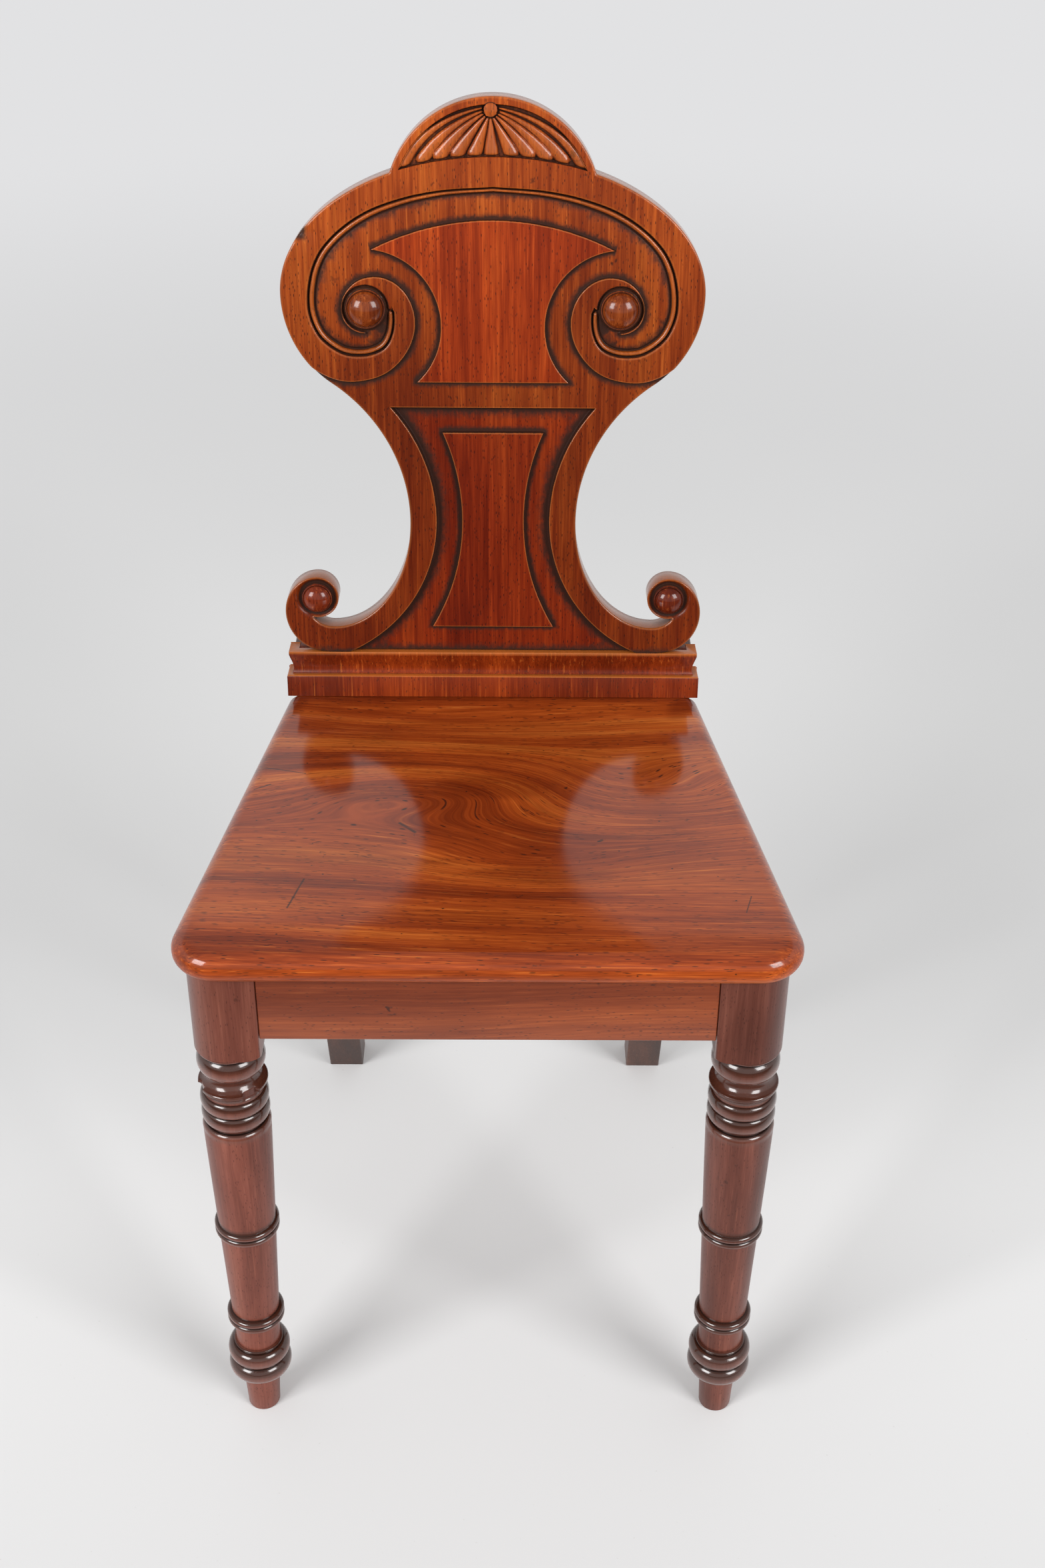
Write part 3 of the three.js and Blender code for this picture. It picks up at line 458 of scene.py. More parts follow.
def scratch(along, across, fromAlong, fromAcross, toAlong, toAcross, wide):
    # A thin line from one place to another
    size = math.hypot(toAlong - fromAlong, toAcross - fromAcross)
    ux, uy = (toAlong - fromAlong) / size, (toAcross - fromAcross) / size
    a, b = along - fromAlong, across - fromAcross
    lengthways = (a * ux + b * uy).off(size / 2).fades(size / 2 - wide, size / 2)
    return lengthways * (a * uy - b * ux).off(0.0).fades(wide * 0.35, wide)


# Polished mahogany: ribbon stripe, fibre, pores, dark polish and painted shade in the hollows
def mahogany(name, w):
    look = Look(name)
    place = look.place(w["axes"], w["turn"], w["shift"])
    across, depth, along = place
    wander = look.noise(place, (6, 6, 2.2), detail=1.0) - 0.5
    bent = across + wander * w["wander"]
    # Flat-sawn boards show arches round a few eyes of the figure
    for *eye, lift in w["eyes"]:
        bent = bent + lift / (1.0 + oval(along + wander * 0.25, across, *eye) ** 1.5)
    grain = (bent, depth, along)
    broad = look.noise(grain, (w["broad"], 12, w["broadRun"]), detail=3.0)
    ribbon = look.noise(grain, (w["ribbon"], w["ribbon"] * 0.7, w["run"]), detail=4.0, rough=0.62)
    fibre = look.noise(grain, (620, 500, 16), rough=0.65)
    hair = look.noise(grain, (2200, 1600, 70), detail=1.0)
    figure = broad * w["broadShare"] + ribbon * (1 - w["broadShare"])
    base = look.ramp(figure.steps(0.3, 0.7), w["stops"])
    streak = (fibre - 0.5) * 0.9 + (hair - 0.5) * 0.5
    base = look.mix((streak + 0.5).steps(0.25, 0.85), look.times(base, w["shade"]), base)
    base = look.mix(fibre.steps(0.58, 0.8) * w["glint"], base, w["light"])
    # Growth lines where the board was cut across them
    if w["growth"]:
        ring = (bent * w["growth"] + ribbon * 2.2 + broad * 2.0).maths("FRACT").off(0.5).fades(0.02, 0.22)
        base = look.mix(ring * broad.steps(0.35, 0.6) * 0.32, base, look.times(base, w["shade"]))

    # Short open pores in line with the grain
    far, chosen = look.cells(grain, (950, 950, w["poreRun"]))
    crowd = look.noise(place, (30, 30, 9), detail=1.0)
    pore = far.fades(0.16, 0.34) * (chosen + crowd * 0.8).steps(0.95, 1.15)
    base = look.mix(pore * w["pores"], base, w["poreColour"])
    if w["fade"]:
        base = look.mix(along.steps(*w["fade"]), look.times(base, w["lower"]), base)

    # Darker patches, bruises and old spots
    spot = look.noise(place, (75, 75, 60), detail=3.0, rough=0.7)
    mark = look.noise(place, (14, 14, 9))
    darker = look.times(base, w["shade"])
    base = look.mix(mark.steps(0.4, 0.68) * w["patch"], base, darker)
    # Darker clouds; on the seat some of them are painted shade where it meets the back
    for *cloud, deep in w["cloudsAndShade"]:
        reach = oval(along + wander * 0.2, across + wander * 0.03, *cloud) + (0.5 - ribbon) * 2.2
        base = look.mix(reach.steps(0.2, 1.3, deep, 0.0), base, darker)
    bruise = spot.steps(0.665, 0.72) * mark.steps(0.45, 0.7)
    # Pin holes and small dents
    far, picked = look.cells(place, (110, 110, 90))
    dot = far.fades(0.035, 0.09) * (picked + mark * 0.7).steps(0.9, 1.1)
    bruise = bruise.most(dot * w["dots"])
    base = look.mix(bruise * w["spots"], base, tone(34, 16, 10))
    for *ends, wide in w["scratches"]:
        wavy = across + (crowd - 0.5) * wide * 7
        line = scratch(along, wavy, *ends, wide) * hair.steps(0.3, 0.55, 0.5, 1.0)
        base = look.mix(line * 0.85, base, tone(38, 18, 12))
        bruise = bruise.most(line)

    # Polish and dust gathered in the hollows, and painted shade there from the occlusion
    near = look.hollow(0.003).fades(w["nearFrom"], 0.9)
    wide = look.hollow(0.012).fades(0.3, 0.95)
    broken = look.noise(place, (330, 330, 210), detail=4.0, rough=0.65)
    grimeAndShade = near * (0.5 + broken * 0.8) * w["nearGrimeAndShade"] + wide * wide * w["wideGrimeAndShade"]
    rough = w["rough"] + (ribbon - 0.5) * 0.12 + pore * 0.12
    coat = w["coat"]
    if w["marked"]:
        marks = look.node("ShaderNodeAttribute", attribute_name="marks")
        dirt, shine, tintAndRingShade = look.split("ShaderNodeSeparateColor", marks)
        # Tint: redder wood on the back and seat, a darker block on the front legs, and on the leg rings dark polish
        # with a painted dark reflection
        base = look.mix(tintAndRingShade, base, look.times(base, w["tint"]))
        # Rubbed edges lightened: wear, and a painted highlight
        base = look.mix(shine * w["rubAndSheen"], base, w["light"])
        # Marked darkening: dirt, and painted shade at the feet of walls, in grooves and between parts
        grimeAndShade = grimeAndShade + (dirt + (broken - 0.5) * 0.9 * dirt.steps(0.0, 0.3)).steps(0.08, 0.8) * 0.95
        rough = rough - tintAndRingShade * w["sleek"]
        coat = (coat + shine * (1.0 - coat)).least(1.0) * (1.0 - tintAndRingShade * w["dull"])
    grimeAndShade = grimeAndShade.least(0.94).most(0.0)
    base = look.mix(grimeAndShade, base, w["grimeAndShadeColour"])
    relief = fibre * 0.35 + hair * 0.15 - pore * 1.1 - bruise * 1.2 + broad * w["wave"]
    return look.finish(base, rough + grimeAndShade * 0.16, relief, w["relief"], 0.0006, coat=coat * (1.0 - grimeAndShade * 0.85),
                       coatRough=w["coatRough"], specular=w["specular"])


# Lengths are metres and the figure's other numbers are repeats per metre
backWood = {
    "axes": (0, 1, 2), "turn": (rake, 0, 0), "shift": (0.63, 0.0, 0.4), "marked": True,
    "wander": 0.008, "broad": 26, "broadRun": 5.0, "ribbon": 300, "run": 5.0, "poreRun": 230, "broadShare": 0.62,
    "stops": tones((0.0, 134, 52, 14), (0.35, 160, 70, 20), (0.62, 181, 86, 27), (1.0, 204, 111, 39)),
    "shade": (0.54, 0.44, 0.35, 1), "light": tone(214, 128, 54), "glint": 0.3, "tint": (1.12, 0.78, 0.76, 1),
    "pores": 0.95, "poreColour": tone(58, 22, 8), "spots": 0.75, "dots": 0.8, "patch": 0.35,
    "fade": (1.0, 1.34), "lower": (0.36, 0.25, 0.2, 1), "eyes": (), "growth": 0, "cloudsAndShade": (), "scratches": (),
    "nearFrom": 0.5, "nearGrimeAndShade": 0.3, "wideGrimeAndShade": 0.8, "grimeAndShadeColour": tone(42, 26, 20),
    "rough": 0.42, "wave": 0.8, "relief": 0.2, "coat": 0.18, "coatRough": 0.16, "specular": 0.08,
    # How strongly the marks work: light on rubbed edges, as wear and a painted highlight, less coat and more
    # sleekness where tinted
    "rubAndSheen": 0.24, "dull": 0.0, "sleek": 0.0,
}
plainBack = dict(backWood, marked=False, fade=None, nearGrimeAndShade=0.9)
mouldWood = dict(
    plainBack, marked=True, shift=(0.41, 0.1, 0.9), broad=16, broadRun=1.5, ribbon=110, run=1.5, nearFrom=0.4,
    tint=(1, 1, 1, 1), rubAndSheen=0.35,
    stops=tones((0.0, 98, 32, 8), (0.4, 121, 42, 10), (0.7, 138, 52, 13), (1.0, 156, 65, 18)))
seatWood = dict(
    plainBack, marked=True, axes=(1, 2, 0), turn=(0, 0, 0), shift=(0, 0, 0),
    wander=0.04, broad=28, broadRun=1.9, ribbon=110, run=3.2, poreRun=120, broadShare=0.6, growth=230,
    # Eyes of the figure: along, across, reach each way, and how far they push it
    eyes=[(0.092, -0.036, 0.07, 0.045, 0.05), (-0.075, -0.026, 0.1, 0.035, -0.042),
          (0.045, -0.12, 0.09, 0.025, 0.024), (-0.02, 0.06, 0.14, 0.025, 0.015)],
    # Scratches: one end, the other end, and half their width
    scratches=[(-0.1219, -0.1325, -0.1305, -0.1653, 0.0009), (-0.1677, -0.0264, -0.1553, -0.0187, 0.0009),
               (-0.1652, 0.0021, -0.1319, -0.0064, 0.0007), (-0.0635, -0.0694, -0.0501, -0.082, 0.0016),
               (0.1666, -0.1688, 0.1718, -0.1508, 0.0006)],
    # Darker clouds in the figure, and painted shade where the seat meets the back (the strip along the rear edge and
    # the two rear corners): along, across, reach each way, and how dark
    cloudsAndShade=[(-0.012, -0.024, 0.05, 0.017, 0.75), (-0.1, -0.034, 0.05, 0.012, 0.5), (0.055, -0.126, 0.06, 0.009, 0.7),
            (0.02, 0.05, 0.12, 0.03, 0.35), (-0.147, 0.09, 0.014, 0.02, 0.8), (0.147, 0.09, 0.014, 0.02, 0.8),
            (0.0, 0.1, 0.2, 0.006, 0.7), (-0.07, -0.112, 0.07, 0.006, 0.45), (-0.02, -0.172, 0.13, 0.007, 0.4)],
    stops=tones((0.0, 118, 45, 13), (0.3, 152, 64, 19), (0.6, 177, 83, 27), (1.0, 200, 110, 43)),
    shade=(0.52, 0.42, 0.34, 1), light=tone(220, 138, 62), glint=0.35, tint=(1.08, 1.0, 0.85, 1), rubAndSheen=0.1, dull=0.6,
    spots=1.0, dots=1.0, grimeAndShadeColour=tone(46, 26, 16), coat=1.0, coatRough=0.11, relief=0.16, wave=0.5)
legWood = dict(
    plainBack, marked=True, turn=(0, 0, 0), shift=(0.2, 0.6, 0.1), wander=0.02, broad=24, broadRun=4.0,
    ribbon=90, run=2.6, tint=(0.04, 0.03, 0.03, 1), rubAndSheen=0.1, sleek=0.27,
    stops=tones((0.0, 90, 44, 33), (0.4, 110, 57, 44), (0.7, 125, 68, 54), (1.0, 143, 84, 67)),
    shade=(0.72, 0.64, 0.58, 1), light=tone(154, 92, 70), glint=0.2, pores=0.6, patch=0.4, dots=0.5,
    grimeAndShadeColour=tone(16, 9, 7), nearFrom=0.3, nearGrimeAndShade=1.3, wideGrimeAndShade=0.35,
    rough=0.44, coat=0.3, coatRough=0.13, wave=0.3, relief=0.12, specular=0.22)
rightLegWood = dict(
    legWood, shift=(0.83, 0.2, 0.7),
    stops=tones((0.0, 80, 40, 30), (0.4, 99, 52, 40), (0.7, 113, 62, 49), (1.0, 130, 76, 61)))
railWood = dict(
    legWood, marked=False, axes=(2, 1, 0), shift=(0.07, 0.3, 0.5), wander=0.03, broad=30, broadRun=2.0, ribbon=120,
    stops=tones((0.0, 110, 46, 17), (0.4, 127, 56, 20), (0.7, 143, 67, 25), (1.0, 160, 83, 34)),
    shade=(0.7, 0.62, 0.55, 1), light=tone(180, 102, 48), pores=0.8, nearGrimeAndShade=0.6,
    coat=0.5, coatRough=0.16, specular=0.45)
sideRailWood = dict(railWood, axes=(2, 0, 1), shift=(0.9, 0.2, 0.1))
rearWood = dict(
    legWood, marked=False, shift=(0.5, 0.1, 0.3),
    stops=tones((0.0, 50, 27, 18), (0.4, 70, 40, 28), (0.7, 86, 51, 37), (1.0, 106, 66, 48)),
    light=tone(120, 80, 60), nearGrimeAndShade=0.6, rough=0.5, coatRough=0.25, specular=0.5)
domeWood = dict(
    plainBack, shift=(0.7, 0.5, 0.2), broad=40, ribbon=160, dots=0.0, nearGrimeAndShade=0.6,
    stops=tones((0.0, 88, 35, 13), (0.4, 120, 53, 21), (0.7, 140, 67, 28), (1.0, 160, 85, 37)),
    rough=0.4, coat=0.7, coatRough=0.15, relief=0.06, specular=0.0)
lowDomeWood = dict(
    domeWood, shift=(0.3, 0.9, 0.6),
    stops=tones((0.0, 82, 27, 14), (0.4, 108, 40, 20), (0.7, 125, 50, 26), (1.0, 142, 64, 35)))

looks = {
    "back": mahogany("back wood", backWood),
    "mould": mahogany("moulding wood", mouldWood),
    "seat": mahogany("seat wood", seatWood),
    "leftLeg": mahogany("left leg wood", legWood),
    "rightLeg": mahogany("right leg wood", rightLegWood),
    "rail": mahogany("rail wood", railWood),
    "sideRail": mahogany("side rail wood", sideRailWood),
    "rear": mahogany("rear leg wood", rearWood),
    "dome": mahogany("upper boss wood", domeWood),
    "lowDome": mahogany("lower boss wood", lowDomeWood),
}


# Bare pine of the glue blocks
def pine(name):
    look = Look(name)
    place = look.place()
    ring = look.noise(place, (160, 160, 6))
    fibre = look.noise(place, (900, 900, 30))
    base = look.ramp(ring.steps(0.3, 0.7), tones((0.0, 112, 82, 54), (0.5, 146, 112, 76), (1.0, 170, 136, 96)))
    base = look.mix(fibre.steps(0.4, 0.8), base, tone(120, 92, 62))
    return look.finish(base, 0.7 + (ring - 0.5) * 0.2, fibre + ring * 0.5, 0.4, 0.0005)


# Dull steel of the screws
def steel(name):
    look = Look(name)
    spot = look.noise(look.place(), (900, 900, 900), detail=3.0)
    base = look.ramp(spot.steps(0.35, 0.7), tones((0.0, 78, 70, 62), (0.6, 128, 122, 114), (1.0, 150, 146, 138)))
    return look.finish(base, 0.38 + spot * 0.25, spot, 0.3, 0.0002, metal=1.0)


looks["pine"] = pine("block pine")
looks["steel"] = steel("screw steel")
print("materials made")


# Back board, drawn in its own plane (across, up); depths go backwards from its face
head = {"half": 146.8, "level": 304.0, "rise": 92.0, "side": 77.0, "crest": 73.8, "top": 434.5,
        "waist": 60.2, "waistLevel": 139.0, "loop": 58.9, "loopFoot": 55.9, "loopEnd": 18.0,
        "eye": (130.4, 79.1), "eyeRadius": 15.8, "reach": 154.4, "widest": 67.6, "footX": 124.0, "base": 35.9}


def headOutline(h):
    # The right half, from the middle of the crest down to the foot
    across = h["half"] - h["waist"]
    drop = h["level"] - h["waistLevel"]
    reach = (across**2 + drop**2) / (2 * across)
    bend = reach - h["side"]
    middle = h["half"] - h["side"]
    turn = math.degrees(math.atan2(-drop, h["waist"] + bend - middle))
    crestLevel = h["top"] - h["crest"]
    # Where the crest meets the head
    t = np.radians(np.linspace(30, 90, 400))
    x = h["half"] * np.cos(t)
    y = h["level"] + h["rise"] * np.sin(t)
    k = np.abs(np.hypot(x, y - crestLevel) - h["crest"]).argmin()
    headStart = math.degrees(t[k])
    crestEnd = math.degrees(math.atan2(y[k] - crestLevel, x[k]))
    ex, ey = h["eye"]
    loopX = h["waist"] + h["loop"]
    scrollTop = ey + h["eyeRadius"]
    return chain(
        arc(0, crestLevel, h["crest"], h["crest"], 90, crestEnd),
        arc(0, h["level"], h["half"], h["rise"], headStart, 0),
        arc(middle, h["level"], h["side"], h["side"], 0, turn),
        arc(h["waist"] + bend, h["waistLevel"], bend, bend, turn + 180, 180),
        arc(loopX, h["waistLevel"], h["loop"], h["waistLevel"] - h["loopFoot"], 180, 270),
        arc(loopX, h["loopFoot"] + h["loopEnd"], h["loopEnd"], h["loopEnd"], -90, -38),
        arc(ex, ey, h["eyeRadius"], h["eyeRadius"], -79, -270),
        arc(ex, h["widest"], h["reach"] - ex, scrollTop - h["widest"], 90, 0),
        arc(h["footX"], h["widest"], h["reach"] - h["footX"], h["widest"] - h["base"], 0, -90),
        [(h["footX"], h["base"] - 0.4)])


def waisted(level, half, upper, lower, top, foot):
    # A shape narrowest at a level, with sides bent to one radius above it and another below
    up = math.degrees(math.asin((top - level) / upper))
    down = math.degrees(math.asin((level - foot) / lower))
    side = chain(arc(half + upper, level, upper, upper, 180 - up, 180),
                 arc(half + lower, level, lower, lower, 180, 180 + down))
    return corners(np.vstack([side, mirrored(side)]), 1.5)


carving = {
    "thick": 19.0, "rise": 2.5, "field": 5.5, "pillar": 4.0, "tablet": 2.8, "fan": 3.6, "arris": 1.25,
    "eye": (88.3, 294.1), "ring": 14.1, "bead": 1.8,
    # Level of the waist and half width there, radii above and below it, top and foot
    "fieldShape": (139.5, 41.0, 128, 114, 223.8, 30.0), "pillarShape": (139.5, 22.4, 165, 165, 205.0, 56.2),
    # Arcs of the raised tablet: centre, radii, and from and to in degrees
    "tabletTop": (0, 169.7, 184.5, 184.5, 63.05, 116.95), "tabletSide": (-89, 281.7, 52.9, 52.9, 84, -47.7),
    # Grooves beside the bead: distance from its line, above 0 towards the raised band, and depth there
    "grooves": [(-4.4, 0), (-3.7, 0.15), (-3.0, 0.6), (-2.5, 1.2), (-2.2, 1.3), (-1.9, 1.1), (1.7, 1.0), (1.95, 1.2),
                (2.3, 0.6), (2.6, -1.2), (2.9, -2.1), (3.3, -2.45), (3.8, -2.5)],
    # Level and radius of the arcs at the fan's foot and round its recess; the hub, and the groove round its foot out
    # to a radius and up to a level
    "fanFoot": (159.7, 236.0), "recess": (360.7, 68.7), "hub": (-1.6, 425.8), "hubRadius": 4.6, "moat": (5.4, 428.4),
    "splinter": (-132, 346),
    # Plain wood below: foot behind the mouldings, shoulder at the seat, tongue behind it
    "blocks": {"foot": ((-146, 8, -20), (146, 18.9, 35.9)), "shoulder": ((-146, 0, -19), (146, 18.9, 0)),
               "tongue": ((-118, 0, -72.5), (118, 18.9, -10))}}

# Centre of the bead on the right half, from the top round under the eye
beadPoints = [(0, 374.3), (30, 372.2), (50, 368.9), (65, 364.9), (80, 359.5), (92, 353.2), (102, 346.2), (110, 338.9),
              (116.5, 331), (121.3, 321.5), (124.1, 311.6), (125.4, 301.7), (125.1, 291.8), (122.6, 282.8),
              (118.6, 275.4), (112.2, 269.4), (104.2, 264.8), (96.3, 263.3), (87.3, 263.8), (79.4, 266.7),
              (74.9, 270.9), (72.0, 277.4), (70.8, 284.8), (70.9, 291.5)]
# Reach of the ribbon's outer edge from the eye, by degrees turned from straight down
ribbonReach = [(0, 17.2), (45, 17.3), (90, 16.7), (135, 17.3), (180, 20.7), (225, 26.3), (270, 32.9), (315, 40.9),
               (345, 47.4), (362, 50.5), (380, 54.1), (400, 56.4), (404, 57.0)]


def ribbonEdge(c):
    turn = np.linspace(0, 404, 300)
    turns, reach = zip(*ribbonReach)
    r = smoothLine(np.stack([turns, reach], 1), 1.5)
    r = np.interp(turn, r[:, 0], r[:, 1])
    a = np.radians(turn - 90)
    return spaced(np.stack([c["eye"][0] + r * np.cos(a), c["eye"][1] + r * np.sin(a)], 1), 1.2)


# Middle lines of the fan's lobes: start at the hub, bend, end, and half width at the foot
fanPaths = [((-1.6, 421.0), (-1.4, 411.0), (-1.2, 401.1), 5.1), ((-0.2, 421.3), (5.0, 412.0), (10.7, 400.9), 5.1),
            ((1.6, 421.9), (11.2, 414.0), (21.8, 400.1), 5.0), ((2.9, 423.2), (19.0, 415.3), (33.3, 398.5), 5.0),
            ((3.6, 424.8), (29.8, 415.6), (44.8, 396.5), 4.8), ((4.2, 426.8), (41.8, 418.6), (58.0, 392.7), 3.9)]


def fanLobes():
    lobes = []
    t = np.linspace(0, 1, 40)[:, None]
    for start, bend, end, wide in fanPaths:
        path = (1 - t)**2 * np.array(start) + 2 * t * (1 - t) * np.array(bend) + t**2 * np.array(end)
        # Runs on past the foot, where the recess cuts the lobe off square
        last = path[-1] - path[-4]
        path = np.vstack([path, path[-1] + last / np.hypot(*last) * np.array([[1.2], [2.4], [3.6]])])
        lobes.append((path, wide))
        if end[0] > 0:
            # The hub stands a little left of the middle
            lean = 3.2 * np.linspace(1, 0, len(path))[:, None]
            lobes.append((np.hstack([-path[:, :1] - lean, path[:, 1:]]), wide))
    return lobes


def lobeReach(wide, t):
    # Half width of a lobe, from the hub to the foot
    return 0.9 + (wide - 0.9) * t


def stripScale(x):
    # The bead and its grooves are narrower near the middle
    return 0.68 + 0.32 * ease(np.abs(x) / 95)


def backShapes(c):
    half = headOutline(head)
    bead = smoothLine(beadPoints, 1.2)
    edge = ribbonEdge(c)
    # The ground that lies a step lower than the ribbons
    low = np.vstack([bead, arc(*c["eye"], c["ring"], c["ring"], 188, -90), edge, [(170, edge[-1, 1]), (170, -20)]])
    scoop = arc(*c["tabletSide"])
    tablet = chain(arc(*c["tabletTop"]), scoop, mirrored(scoop))
    (footLevel, foot), (level, radius) = c["fanFoot"], c["recess"]
    recess = chain(arc(0, level, radius, radius, 22.6, 157.4), arc(0, footLevel, foot, foot, 105.6, 74.4))
    return {
        "outline": corners(np.vstack([half, mirrored(half)[:-1]]), 1.6),
        "beads": np.vstack([mirrored(bead)[:-1], bead]),
        "edge": edge,
        "lowered": np.vstack([low, mirrored(low)[:-1]]),
        "field": waisted(*c["fieldShape"]),
        "pillar": waisted(*c["pillarShape"]),
        "tablet": corners(tablet, 1.5),
        "recess": corners(recess, 1.3),
        "lobes": fanLobes()}


def backLines(c, shapes):
    # Each feature's line and the lines beside it where the surface turns
    lines = []

    def beside(line, offsets, closed=True):
        for distance in offsets:
            lines.append((shifted(line, distance, closed), closed))

    def circles(x, y, radii, end=356, step=1.2):
        for r in radii:
            lines.append((arc(x, y, r, r, 0, end, step), True))

    beads, opposite = shapes["beads"], tuple(-x for x in fallRings)
    beside(shapes["outline"], (0, 0.12, 0.4, 0.8, 1.25, 1.8))
    for distance in (-6.4, -5.2, -4.4, -3.7, -3.0, -2.5, -2.2, -1.9, -1.6, -1.1, -0.5, 0, 0.5, 1.1, 1.4, 1.7, 1.95,
                     2.3, 2.6, 2.9, 3.3, 3.8):
        lines.append((shifted(beads, (distance * stripScale(beads[:, 0]))[:, None], False), False))
    for line in (shapes["edge"], mirrored(shapes["edge"])):
        beside(line, fallRings + tuple(x for x in opposite if x), False)
    for name in ("field", "pillar", "tablet", "recess"):
        beside(shapes[name], sorted({*fallRings, *opposite}))
    for side in (1, -1):
        circles(side * c["eye"][0], c["eye"][1], (13.2, 14.1, 14.4, 14.8, 15.3, 15.8, 16.4, 17.0))
        circles(side * head["eye"][0], head["eye"][1], (10.6, 11.4, 11.8, 12.3, 13.0, 13.8, 14.6, 15.4, 16.4, 17.6))
    for path, wide in shapes["lobes"]:
        reach = lobeReach(wide, np.linspace(0, 1, len(path)))[:, None]
        for share in (-1.12, -1.0, -0.92, -0.75, -0.45, 0, 0.45, 0.75, 0.92, 1.0, 1.12):
            lines.append((shifted(path, reach * share, False), False))
    level, foot = c["fanFoot"]
    for rise in (0.5, 0.7, 1.0, 1.5, 2.1, 2.8):
        lines.append((arc(0, level, foot + rise, foot + rise, 105.2, 74.8, 1.0), False))
    circles(*c["hub"], (2.5, 3.9, 4.3, 4.6, 5.0, 5.4), 350, 0.9)
    return lines


def backPlan(outline, lines):
    # Triangles that follow all the lines, as points and faces in the plane
    points, edges, start = [], [], 0
    for line, closed in lines:
        n = len(line)
        points.append(line)
        edges += [(start + i, start + (i + 1) % n) for i in range(n if closed else n - 1)]
        start += n
    points.append(np.stack(np.meshgrid(np.arange(-154, 155, 7.0), np.arange(37, 434, 7.0)), -1).reshape(-1, 2))
    points = [Vector(p) for p in np.concatenate(points).tolist()]
    flat, _, faces, *_ = delaunay_2d_cdt(points, edges, [], 0, 0.02)
    flat, faces = np.array([tuple(p) for p in flat]), np.array(faces)
    faces = faces[inside(flat[faces].mean(1), outline)]
    used = np.unique(faces)
    renumber = np.full(len(flat), -1)
    renumber[used] = np.arange(len(used))
    return flat[used], renumber[faces]


def under(gap, reach):
    # 1 at the foot of a wall, down to 0 at a reach from it
    return np.where(gap > 0, np.clip(1 - gap / reach, 0, 1), 0)


def band(distance, middle, half, peak=1.0):
    # Highest along a line beside an edge, down to 0 on both sides of it
    return np.clip(peak - np.abs(distance - middle) / half, 0, 1)


# The board's face: the depth of each point, and its marks of dirt with painted shade, polish with a painted
# highlight, and redder wood
class Face:
    def __init__(self, flat):
        self.flat = flat
        self.x, self.y = flat.T
        self.depth, self.dirt, self.shine, self.tintAndRingShade = (np.zeros(len(flat)) for _ in range(4))

    def soilAndShade(self, values, at=slice(None)):
        self.dirt[at] = np.maximum(self.dirt[at], values)

    def rubAndSheen(self, values, at=slice(None)):
        self.shine[at] = np.maximum(self.shine[at], values)


def carveRibbons(face, c, shapes):
    sunk = signed(face.flat, shapes["lowered"])
    face.depth = -c["rise"] + falling(-sunk, c["rise"], 0.55, 0.4, 0.5)
    gap, _ = nearest(face.flat, shapes["beads"], False)
    s = np.where(sunk > 0, gap, -gap) / stripScale(face.x)
    fromBead = s + 0.1
    onBead = np.abs(fromBead) < c["bead"]
    beadTop = 1.1 - 3.0 * np.sqrt(np.maximum(1 - (fromBead / c["bead"])**2, 0))
    groove = np.interp(s, *zip(*c["grooves"]))
    inStrip = (s > c["grooves"][0][0]) & (s < c["grooves"][-1][0])
    face.depth = np.where(inStrip, np.where(onBead, beadTop, groove), face.depth)
    fromField, fromPillar, fromTablet = (signed(face.flat, shapes[k]) for k in ("field", "pillar", "tablet"))
    face.depth += falling(-fromField, c["field"], 0.5, 0.6, 0.8)
    face.depth -= c["pillar"] - falling(fromPillar, c["pillar"], 0.5, 0.5, 0.5)
    face.depth -= c["tablet"] - falling(fromTablet, c["tablet"], 0.5, 0.4, 0.5)
    # Dirt and painted shade at the foot of each wall and in the grooves, but not on the bead
    face.soilAndShade(under(-fromField, 11.0))
    face.soilAndShade(under(fromPillar, 6.0) * (fromField < 0))
    face.soilAndShade(under(fromTablet, 6.0))
    face.soilAndShade(under(-sunk, 6.5))
    face.soilAndShade(band(s, 2.15, 0.75) * (s > 0))
    face.soilAndShade(band(s, -2.5, 3.6) * (s < -1.7))
    face.dirt[onBead | ((s > 2.9) & (s < 6))] = 0
    # Edges rubbed bright: wear, and a painted highlight
    for wall in (-fromField, fromPillar, fromTablet, -sunk):
        face.rubAndSheen(band(wall, -0.25, 0.5, 1.2))
    face.rubAndSheen(np.where(onBead, 0.6 - 0.6 * (fromBead / c["bead"])**4, 0))
    face.rubAndSheen(band(s, 3.35, 0.4, 1.3))
    face.tintAndRingShade = np.maximum(ease(0.5 - fromTablet), ease(0.5 - fromField))


def carveEyes(face, c):
    away = np.abs(face.x)
    # A flat seat for the upper boss, with a rounded rim, and dirt with painted shade round the boss and where the
    # ribbon's end meets it; the seat's edge lightened as a painted highlight
    r = np.hypot(away - c["eye"][0], face.y - c["eye"][1])
    seatLevel = -c["rise"] + 2.4 * ease((r - 14.2) / 0.8)
    rim = face.depth + (-0.1 - face.depth) * (1 - ease((r - 15.3) / 1.3))
    face.depth = np.where(r < 15.3, seatLevel, np.where(r < 16.6, rim, face.depth))
    face.soilAndShade(band(r, 14.6, 1.9, 1.4))
    face.soilAndShade(1.1 * ease(1 - np.hypot(away - 77.5, face.y - 280.5) / 8))
    face.rubAndSheen(band(r, 13.9, 0.5))
    # A groove round the lower boss, with dirt and painted shade in it
    r = np.hypot(away - head["eye"][0], face.y - head["eye"][1])
    face.depth += np.where(r < 18, 2.3 * ease((r - 11.3) / 0.7) * (1 - ease((r - 12.2) / 4.4)), 0)
    face.soilAndShade(band(r, 12.4, 2.2, 1.1))


